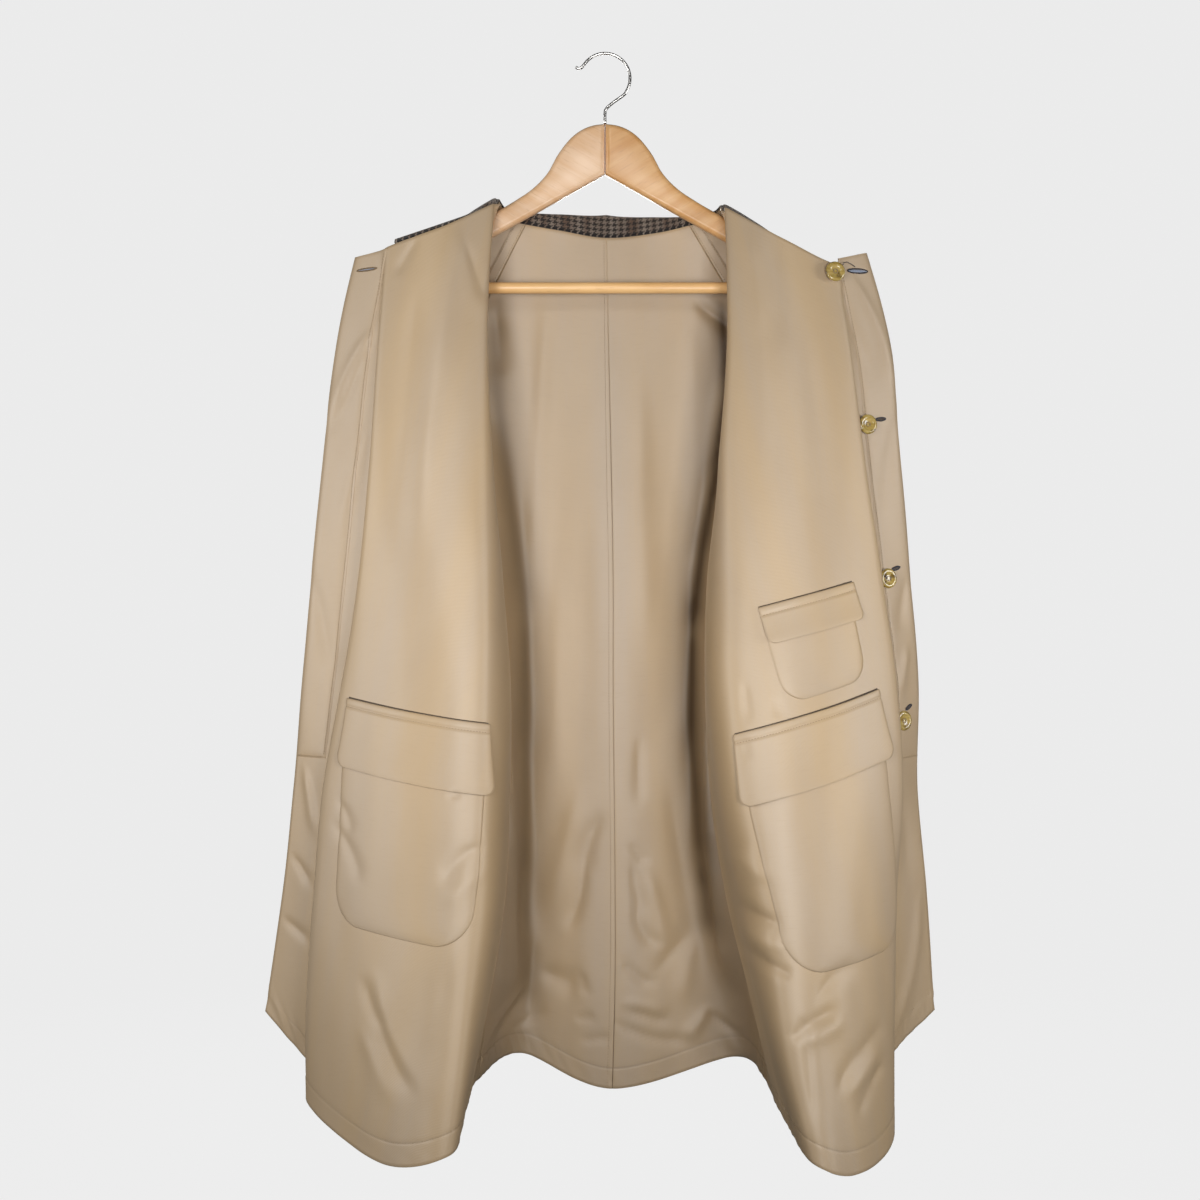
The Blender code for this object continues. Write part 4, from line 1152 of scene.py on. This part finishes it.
def raglan_tape(side):
    """A flat tape on the inside of the sleeve, along its back raglan seam, and its rows of sewing."""
    t = np.linspace(0, UNDERARM_STATION - TAPE_STOP, TAPE_DOWN)
    ones = np.ones(len(t))
    seam = sleeve_base(side, "back", ones, t)
    inward = unit(sleeve_base(side, "back", 0.9 * ones, t) - seam)
    down = np.gradient(seam, axis=0)
    normal = unit(np.cross(inward, down))
    turned = normal[:, 1].mean() > 0
    normal = -normal if turned else normal
    lift = WALL / 2 + TAPE_LIFT
    rows = []
    for share in np.linspace(0, 1, TAPE_WIDE):
        rows.append(seam + inward * (TAPE_GAP + share * TAPE_WIDTH) + normal * lift)
    node = f"raglan_tape_{side}"
    piece = cloth(f"{node}_cloth", np.array(rows), turned, LAYER, (GABARDINE,), (node,))
    raised = normal * (lift + LAYER / 2)
    return [(seam + inward * offset + raised, normal) for offset in TAPE_SEWING]


# Collar


def neck_points(side, s):
    """The neckline from the front's bulge, at 0, over the raglan seams to the centre back."""
    u = np.clip(COLLAR_START + s, COLLAR_START, SEAM_PLACE)
    front = front_base(side, u, front_ends(side, u)[0])
    w = np.clip(np.abs(s - SHOULDER), 0, 1)
    halves = [sleeve_base(side, half, w, np.zeros(len(s))) for half in BODY]
    sleeve = np.where((s < SHOULDER)[:, None], *halves)
    u = np.clip(s - BACK_RAGLAN, 0, BACK_CENTRE)
    back = back_base(side, u, back_ends(side, u)[0])
    behind = np.where((s <= BACK_RAGLAN)[:, None], sleeve, back)
    return np.where((s <= FRONT_RAGLAN)[:, None], front, behind)


def collar_profiles(side, s):
    """Points of the collar's middle, from the neck seam over the crest to the leaf's edge."""
    knots = [station.place for station in COLLAR_STATIONS]

    def column(values):
        return through(knots, values, s)

    rises, tucks = RISES[side], TUCKS[side]
    rise = column([rises.get(row.place, row.rise) for row in COLLAR_STATIONS])[:, None] * MM
    tuck = column([tucks.get(row.place, 0) for row in COLLAR_STATIONS])[:, None]
    lean = column([row.lean for row in COLLAR_STATIONS])[:, None] * MM
    turn = column([row.turn - row.rise for row in COLLAR_STATIONS])[:, None] * MM
    outward = unit(column([row.outward for row in COLLAR_STATIONS]))
    outward = np.column_stack([outward * (1 if side == "left" else -1, 1), np.zeros(len(s))])
    end = mirrored(column([row.leaf_end for row in COLLAR_STATIONS]) * MM, side)
    end[:, 2] -= column([LEAF_DROPS[side].get(row.place, 0) for row in COLLAR_STATIONS]) * MM
    up = np.array([0, 0, 1.0])
    neck = neck_points(side, s) + tuck * (outward * (WALL + NECK_GAP) - up * TUCK_DROP)
    seat = neck + up * (NECK_GAP + WALL / 2 * lean / np.hypot(lean, rise))
    crest = seat + up * (rise + tuck * TUCK_DROP) + outward * lean
    turned = crest + up * turn + outward * COLLAR_TURN
    belly = (turned + end) / 2 + outward * COLLAR_TURN / 2
    return np.array([seat, (seat + crest) / 2 + up * MM / 2, crest, turned, belly, end])


COLLAR_WIDE, COLLAR_DOWN = 72, 34


def collar():
    """Stand and fall in one piece. The stand is held, and the leaf has the cloth's slack."""
    s = np.linspace(0, NECK_CENTRE, COLLAR_WIDE + 1)
    halves = [collar_profiles("left", s), collar_profiles("right", s[-2::-1])]
    profiles = np.concatenate(halves, axis=1)
    steps = np.linspace(0, len(profiles) - 1, COLLAR_DOWN + 1)
    grid = through(np.arange(len(profiles)), profiles, steps).transpose(1, 0, 2)
    flat = grid.reshape(-1, 3)
    hanging = np.tile(ease(np.linspace(STAND_HELD, 1, COLLAR_DOWN + 1)), len(grid))
    flat = flat + grid_normals(grid) * (hanging * COLLAR_SLACK * slack(flat))[:, None]
    grid = flat.reshape(grid.shape)
    piece = cloth("collar_cloth", grid, False, WALL, (TWEED,), ("collar",), COLLAR_WIDE)


# Pieces that lie on a front


def place_on_front(side, z, from_edge=None, from_fold=None):
    """u at a length along the cloth from the front edge, or from the fold towards that edge."""
    samples = np.linspace(0, SEAM_PLACE, 61)
    u, heights = np.tile(samples, len(z)), np.repeat(z, len(samples))
    runs = run_lengths(front_base(side, u, heights).reshape(len(z), len(samples), 3), 1)
    if from_edge is None:
        fold = runs[:, np.searchsorted(samples, FOLD_PLACE - 1e-6)]
        from_edge = fold - from_fold
    return np.array([np.interp(length, run, samples) for length, run in zip(from_edge, runs)])


def over_front(side, z, height, from_edge=None, from_fold=None):
    u = place_on_front(side, z, from_edge, from_fold)
    return on_panel(side, "front", u, z, WALL / 2 + height)


def patch_half_width(patch, down):
    """Half the width of a patch at a distance down from its top, with round lower corners."""
    into = np.clip(down - (patch.depth - patch.corner), 0, patch.corner)
    rounding = patch.corner - np.sqrt(np.maximum(0, patch.corner**2 - into**2))
    return patch.width / 2 + patch.spread * down - rounding


def patch_place(patch, sideways, down):
    """Distance from the fold and height of places on a patch, sideways and down from its top middle."""
    tilt, lean = math.radians(patch.tilt), math.radians(patch.lean)
    outward = 1 if patch.side == "right" else -1
    from_fold = patch.from_fold + outward * sideways * math.cos(tilt) + down * math.sin(lean)
    z = patch.height + sideways * math.sin(tilt) - down * math.cos(lean)
    return from_fold * MM, z * MM


# The grid of a pocket or flap: its steps in millimetres, its least counts, the rows of a flap's welt
# and of the lower corners, and how much the columns draw together at its sides
ROW_STEP, COLUMN_STEP = 3, 3.2
LEAST_ROWS, LEAST_COLUMNS = 12, 24
WELT_ROWS, CORNER_ROWS = 15, 10
CLOSER = 0.35


def patch_piece(name, patch):
    """A pocket or flap: a layer that drops at its rim. A flap has a welt, and lifts off lower down."""
    kind = "flap" if "flap" in name else "pocket"
    straight = (patch.depth - patch.corner) / patch.depth
    upper = np.linspace(0, straight, max(LEAST_ROWS, round(patch.depth / ROW_STEP)))
    if kind == "flap":
        welt = np.linspace(0, 2 * WELT, WELT_ROWS) / patch.depth
        upper = np.concatenate([welt, upper[upper > welt[-1] + LEAST_STEP]])
    corner = np.sin(np.linspace(0, math.pi / 2, CORNER_ROWS)[1:])
    rows = np.concatenate([upper, straight + (1 - straight) * corner])
    count = max(LEAST_COLUMNS, round(patch.width / COLUMN_STEP)) + 1
    closer = np.sin(np.linspace(-math.pi / 2, math.pi / 2, count))
    columns = CLOSER * closer + (1 - CLOSER) * np.linspace(-1, 1, count)
    share, down_share = every_place(columns, rows)
    down = down_share * patch.depth
    half_width = patch_half_width(patch, down)
    from_fold, z = patch_place(patch, share * half_width, down)
    from_rim = np.minimum(half_width * (1 - np.abs(share)), patch.depth - down)
    height = patch.rise - RIM_DROP[kind] * np.exp(-from_rim / RIM_REACH) + patch.lift * down_share**2
    if kind == "flap":
        groove = WELT_GROOVE * bell((down - WELT) / WELT_REACH)
        height = height - groove - TOP_DROP * np.exp(-down / TOP_REACH)
    points, _ = over_front(patch.side, z, (height - LAYER / MM / 2) * MM, from_fold=from_fold)
    grid = points.reshape(len(columns), len(rows), 3)
    piece = cloth(f"{name}_cloth", grid, True, LAYER, (GABARDINE,), (name,))


def pocket_slit_painted_shadow(name, patch):
    """A dark strip of painted shadow over the slit above a flap, where the pocket opens."""
    sideways = np.linspace(-patch.width / 2 + 0.5, patch.width / 2 - 0.5, 70)
    rows = []
    for down in MOUTH_ROWS:
        from_fold, z = patch_place(patch, sideways, np.full(len(sideways), down))
        rows.append(over_front(patch.side, z, MOUTH_HEIGHT, from_fold=from_fold)[0])
    strip = bmesh.new()
    laid_grid(strip, np.array(rows).transpose(1, 0, 2))
    bmesh.ops.reverse_faces(strip, faces=strip.faces[:])
    bmesh.ops.solidify(strip, geom=strip.faces[:], thickness=MOUTH_THICKNESS)
    add_piece(name, mesh_of(strip, name), (POCKET_PAINTED_SHADOW,))


FLY_WIDE, FLY_DOWN = 13, 150


def fly_strip(side):
    """A strip along a front edge, from the neckline to the fly's end."""
    shares, rows = np.linspace(0, 1, FLY_WIDE), np.linspace(0, 1, FLY_DOWN)
    share, v = every_place(shares, rows)
    top = front_ends(side, share)[0] - FLY_TOP
    z = top + (FLY_END - top) * v
    from_edge = FLY_EDGE + share * (FLY_WIDTH - FLY_EDGE)
    from_rim = np.minimum(np.minimum(share, 1 - share) * FLY_WIDTH, (1 - v) * FLY_LENGTH)
    height = FLY_RISE - LAYER / 2 - FLY_RIM_DROP * np.exp(-from_rim / MM / RIM_REACH)
    points, _ = over_front(side, z, height, from_edge=from_edge)
    node = f"fly_{side}"
    grid = points.reshape(len(shares), len(rows), 3)
    piece = cloth(f"{node}_cloth", grid, side == "left", LAYER, (GABARDINE,), (node,))


# Sewing


STITCH_ARC = ((-0.5, -0.35), (-0.25, 0.05), (0.25, 0.05), (0.5, -0.35))
STITCH_WIDTHS = (0.6, 1, 1, 0.6)


def sew(curve, points, normals):
    """Even stitches along a run of points, each a short arc that dips into the cloth at its ends."""
    run = np.concatenate([[0], np.cumsum(np.linalg.norm(np.diff(points, axis=0), axis=1))])
    middles = np.arange(STITCH_PITCH / 2, run[-1] - STITCH_PITCH / 2, STITCH_PITCH)
    rows = []
    for along, lift in STITCH_ARC:
        places = middles + along * STITCH_LENGTH
        lifted = points + normals * lift * MM
        rows.append(np.column_stack([np.interp(places, run, line) for line in lifted.T]))
    for route in np.array(rows).transpose(1, 0, 2):
        add_run(curve, route, STITCH_WIDTHS)


def sewn_piece(name, runs, finish):
    curve = round_curve(name, STITCH_RADIUS)
    for points, normals in runs:
        sew(curve, points, normals)
    add_piece(name, mesh_of_curve(name, curve), (finish,))


HEM_SEWING = {
    "front": np.linspace(0.02, SEAM_PLACE - 0.02, 220),
    "back": np.linspace(0.02, BACK_CENTRE - 0.01, 90),
}


def hem_run(side, half):
    """Stitches sunk in the groove above a hem's band."""
    _, ends, _ = BODY[half]
    u = HEM_SEWING[half]
    z = ends(side, u)[1] + HEM_BAND
    return on_panel(side, half, u, z, WALL / 2 - 0.45 * MM)


def centre_run(side):
    """Stitches beside the centre back seam, from the neck to the hem."""
    z = np.linspace((CENTRE_NECK - 3) * MM, (CENTRE_HEM + 3) * MM, 260)
    u = np.full(len(z), BACK_CENTRE - SEAM_STITCHES / BACK_REACH)
    return on_panel(side, "back", u, z, WALL / 2 + 0.15 * MM)


def fly_runs(side):
    """Stitches along a fly strip's inner edge and across its end."""
    top = float(front_ends(side, np.array([1.0]))[0][0])
    height = FLY_RISE - FLY_SINK
    z = np.linspace(top - 4 * MM, FLY_END + 1 * MM, 200)
    along = over_front(side, z, height, from_edge=np.full(len(z), FLY_WIDTH - FLY_SEWING))
    lengths = np.linspace(3 * MM, FLY_WIDTH - 2 * MM, 24)
    z = np.full(len(lengths), FLY_END + FLY_SEWING)
    return [along, over_front(side, z, height, from_edge=lengths)]


def flap_run(patch):
    """Stitches under a flap's welt."""
    sideways = np.linspace(-patch.width / 2 + 2, patch.width / 2 - 2, 60)
    from_fold, z = patch_place(patch, sideways, np.full(len(sideways), WELT + 0.4))
    return over_front(patch.side, z, (patch.rise - WELT_GROOVE + 0.1) * MM, from_fold=from_fold)


# Buttons and buttonholes


def spun(profile, steps):
    """A turned shape from a profile of (radius, height), closed on its axis."""
    turned = bmesh.new()
    verts = [turned.verts.new((x, 0, z)) for x, z in profile]
    for first, second in zip(verts, verts[1:]):
        turned.edges.new((first, second))
    bmesh.ops.spin(
        turned,
        geom=turned.verts[:] + turned.edges[:],
        axis=(0, 0, 1),
        cent=(0, 0, 0),
        angle=2 * math.pi,
        steps=steps,
        use_merge=True,
        use_duplicate=False,
    )
    bmesh.ops.remove_doubles(turned, verts=turned.verts[:], dist=1e-6)
    bmesh.ops.recalc_face_normals(turned, faces=turned.faces[:])
    return turned


def button_seat(spec):
    """Height over the front of a button's foot, which stands on the fly strip where it reaches it."""
    on_fly = spec.from_edge * MM < FLY_WIDTH + BUTTON_RADIUS
    return BUTTON_SEAT["fly" if on_fly else "front"]


def button(number, spec):
    """A turned horn button with a dished face, four sewn holes and a thread shank."""
    rim, thick, neck = BUTTON_RADIUS, BUTTON_THICKNESS, SHANK_HEIGHT
    height, from_edge = np.array([spec.height * MM]), np.array([spec.from_edge * MM])
    place, normal = over_front("right", height, button_seat(spec), from_edge=from_edge)
    facing = Vector(unit(normal[0] + np.array([0, -BUTTON_FACING, 0])))
    frame_of = Matrix.Translation(Vector(place[0])) @ facing.to_track_quat("Z", "X").to_matrix().to_4x4()
    horn = spun([(x * rim, neck + z * thick) for x, z in BUTTON_PROFILE], 40)
    bmesh.ops.transform(horn, matrix=frame_of, verts=horn.verts[:])
    name = f"button_{number}_horn"
    add_piece(name, mesh_of(horn, name), (HORN,), (f"button_{number}",))

    shank = [
        (0, neck + 0.1 * thick),
        (1.1 * SHANK_RADIUS, neck),
        (0.8 * SHANK_RADIUS, 0.55 * neck),
        (SHANK_RADIUS, 0.2 * neck),
        (1.3 * SHANK_RADIUS, -0.2 * MM),
        (0, -0.4 * MM),
    ]
    thread = spun(shank, 16)
    hole = CROSS_PLACE * rim
    for x, y in ((hole, 0), (-hole, 0), (0, hole), (0, -hole)):
        size = (hole, CROSS_WIDTH) if y else (CROSS_WIDTH, hole)
        stretched = Matrix.Diagonal((*size, CROSS_THICKNESS, 1))
        matrix = Matrix.Translation((x, y, neck + CROSS_HEIGHT * thick)) @ stretched
        bmesh.ops.create_uvsphere(thread, u_segments=10, v_segments=6, radius=1, matrix=matrix)
    bmesh.ops.transform(thread, matrix=frame_of, verts=thread.verts[:])
    name = f"button_{number}_thread"
    add_piece(name, mesh_of(thread, name), (KHAKI_THREAD,))


def buttonhole(number, hole):
    """A worked buttonhole: a slit in an oval ring of close thread bars."""
    half = hole.length / 2 * MM
    tilt = math.radians(hole.tilt)
    turns = np.linspace(0, 2 * math.pi, BARS_PER_HOLE, endpoint=False)

    def ring(reach, spread, height):
        along = (half + reach) * np.cos(turns)
        aside = (hole.open * MM + spread) * np.sin(turns)
        from_edge = hole.from_edge * MM - along * math.cos(tilt) + aside * math.sin(tilt)
        rise = along * math.sin(tilt) + aside * math.cos(tilt)
        return over_front(hole.side, hole.height * MM + rise, FLY_RISE + height, from_edge=from_edge)

    inner, normals = ring(0, HOLE_CLEAR, 0.5 * MM)
    outer, _ = ring(HOLE_LIP * 0.6, HOLE_CLEAR + HOLE_LIP, 0.4 * MM)
    name = f"buttonhole_{number}"
    bars = round_curve(name, HOLE_BAR)
    for start, end, up in zip(inner, outer, normals):
        add_run(bars, (start, (start + end) / 2 + up * 0.3 * MM, end), (0.8, 1, 0.7))
    thread = NAVY_THREAD if hole.side == "right" else KHAKI_THREAD
    add_piece(name, mesh_of_curve(name, bars), (thread,))

    middle = inner.mean(axis=0)
    along, aside = inner[0] - middle, inner[BARS_PER_HOLE // 4] - middle
    up = unit(np.cross(along, aside))
    axes = np.column_stack([along, aside, up * 0.25 * MM, middle - normals[0] * 0.3 * MM])
    slit = bmesh.new()
    matrix = Matrix([*axes.tolist(), [0, 0, 0, 1]])
    bmesh.ops.create_uvsphere(slit, u_segments=20, v_segments=8, radius=1, matrix=matrix)
    bmesh.ops.recalc_face_normals(slit, faces=slit.faces[:])
    # Long holes show a pale edge inside; short ones get a dark slit of painted shadow
    edge = SLIT_BLUE if hole.length > SHORT_HOLE else POCKET_PAINTED_SHADOW
    add_piece(f"{name}_slit", mesh_of(slit, f"{name}_slit"), (edge,))


def loose_thread():
    """The end of a thread that hangs from the first buttonhole towards its button."""
    from_edge, z, rise = np.array(LOOSE_THREAD).T * MM
    route, _ = over_front("right", z, FLY_RISE + rise, from_edge=from_edge)
    curve = round_curve("loose_thread", LOOSE_RADIUS)
    add_run(curve, route, np.ones(len(route)))
    add_piece("loose_thread", mesh_of_curve("loose_thread", curve), (NAVY_THREAD,))


# Hanger


def hanger_arm(side):
    """One glued half of the wooden hanger: a flat outline with rounded edges."""
    turn = -1 if side == "left" else 1
    top = np.array(ARM_TOP, float)
    x = np.linspace(0, top[-1, 0], 60)
    outline = [*zip(x, through(top[:, 0], top[:, 1], x)), *ARM_END, *ARM_UNDER]
    curve = bpy.data.curves.new(f"hanger_arm_{side}_outline", "CURVE")
    curve.dimensions = "2D"
    curve.fill_mode = "BOTH"
    curve.extrude = ARM_HALF_DEPTH - ARM_ROUNDING
    curve.bevel_depth = ARM_ROUNDING
    curve.bevel_resolution = 5
    curve.offset = -ARM_ROUNDING
    spline = curve.splines.new("POLY")
    spline.points.add(len(outline) - 1)
    for point, (px, pz) in zip(spline.points, outline):
        point.co = (turn * (px * MM + GLUE_GAP), pz * MM, 0, 1)
    spline.use_cyclic_u = True
    mesh = mesh_of_curve(f"hanger_arm_{side}_wood", curve, Matrix.Rotation(math.pi / 2, 4, "X"))
    add_piece(f"hanger_arm_{side}_wood", mesh, (BEECH[side],), (f"hanger_arm_{side}",))
    mesh.set_sharp_from_angle(angle=WOOD_CORNER)


def hanger_bar():
    reach = ARM_UNDER[0][0] * MM - BAR_GAP
    rod = bmesh.new()
    bmesh.ops.create_cone(
        rod,
        cap_ends=True,
        segments=40,
        radius1=BAR_RADIUS,
        radius2=BAR_RADIUS,
        depth=2 * reach,
        matrix=Matrix.Translation((0, 0, BAR_HEIGHT)) @ Matrix.Rotation(math.pi / 2, 4, "Y"),
    )
    caps = {face for face in rod.faces if len(face.verts) > 4}
    rims = [edge for edge in rod.edges if len(caps.intersection(edge.link_faces)) == 1]
    bmesh.ops.bevel(rod, geom=rims, offset=BAR_BEVEL, affect="EDGES", segments=3, profile=0.5, material=-1)
    mesh = mesh_of(rod, "hanger_bar_wood")
    add_piece("hanger_bar_wood", mesh, (BEECH["bar"],), ("hanger_bar",))
    mesh.set_sharp_from_angle(angle=WOOD_CORNER)


def hanger_hook():
    """Bent wire: a stem, a slanting neck, the crook and a tip turned outwards."""
    centre = HOOK_WIRE - HOOK_RADIUS
    angles = np.radians(np.linspace(*HOOK_TURN, 19))
    crook = np.column_stack([HOOK_RADIUS * np.cos(angles), centre + HOOK_RADIUS * np.sin(angles)])
    route = np.concatenate([np.array(HOOK_STEM) * MM, crook, np.array(HOOK_TIP) * MM])
    finer = through(np.arange(len(route)), route, np.linspace(0, len(route) - 1, 4 * len(route)))
    wire = round_curve("hanger_hook_route", HOOK_WIRE, 4)
    add_run(wire, np.insert(finer, 1, 0, axis=1), np.ones(len(finer)))
    mesh = mesh_of_curve("hanger_hook_wire", wire)
    add_piece("hanger_hook_wire", mesh, (WIRE,), ("hanger_hook",))


# Stage


def backdrop():
    """A round pale floor that turns up into a wall."""
    floor, wall, corner, top = -1.7, 5.0, 1.5, 4.0
    bend = wall - corner
    profile = [(0, floor), (bend, floor)]
    for angle in np.radians(np.linspace(-75, 0, 6)):
        profile.append((bend + corner * math.cos(angle), floor + corner + corner * math.sin(angle)))
    profile.append((wall, top))
    room = spun(profile, 64)
    bmesh.ops.reverse_faces(room, faces=room.faces[:])
    mesh = mesh_of(room, "backdrop")
    mesh.materials.append(backdrop_finish())
    mesh.shade_smooth()
    stage = bpy.data.objects.new("backdrop", mesh)
    bpy.context.scene.collection.objects.link(stage)
    stage.visible_diffuse = False
    stage.visible_glossy = False
    stage.visible_shadow = False


def soft_light(name, lamp):
    data = bpy.data.lights.new(name, "AREA")
    data.shape = "RECTANGLE"
    data.size, data.size_y = lamp.size
    data.energy = lamp.watts
    data.spread = math.radians(lamp.spread)
    light = bpy.data.objects.new(name, data)
    light.location = lamp.place
    light.rotation_euler = (Vector(lamp.aim) - Vector(lamp.place)).to_track_quat("-Z", "Y").to_euler()
    bpy.context.scene.collection.objects.link(light)


def studio():
    backdrop()
    for name, lamp in LAMPS.items():
        soft_light(name, lamp)
    world = bpy.data.worlds.new("studio")
    bpy.context.scene.world = world
    world.use_nodes = True
    background = world.node_tree.nodes["Background"]
    background.inputs["Color"].default_value = (1, 1, 1, 1)
    background.inputs["Strength"].default_value = WORLD_STRENGTH
    bpy.context.scene.view_settings.view_transform = "Standard"


def camera():
    data = bpy.data.cameras.new("camera")
    data.lens = CAMERA_LENS
    data.sensor_width = CAMERA_SENSOR
    view = bpy.data.objects.new("camera", data)
    view.location = CAMERA_PLACE
    view.rotation_euler = (math.pi / 2, 0, 0)
    bpy.context.scene.collection.objects.link(view)
    bpy.context.scene.camera = view


camera()
studio()
hanger_bar()
hanger_hook()
for side in SIDES:
    hanger_arm(side)
    for half in BODY:
        body_panel(side, half)
    for half in BODY:
        sleeve_panel(side, half)
    fly_strip(side)
    taped = raglan_tape(side)
    hems = [hem_run(side, half) for half in BODY]
    sewn_piece(f"sewing_{side}", [*taped, *hems, *fly_runs(side)], PALE_THREAD)
sewn_piece("sewing_centre", [centre_run("left")], PALE_THREAD)
collar()
for name, patch in PATCHES.items():
    patch_piece(name, patch)
flaps = {name: patch for name, patch in PATCHES.items() if "flap" in name}
sewn_piece("sewing_flaps", [flap_run(patch) for patch in flaps.values()], KHAKI_THREAD)
# Painted shadow strips in the slits above the flaps
for name, patch in flaps.items():
    pocket_slit_painted_shadow(name.replace("flap", "mouth"), patch)
for number, spec in enumerate(BUTTONS, 1):
    button(number, spec)
for number, hole in enumerate(HOLES, 1):
    buttonhole(number, hole)
loose_thread()
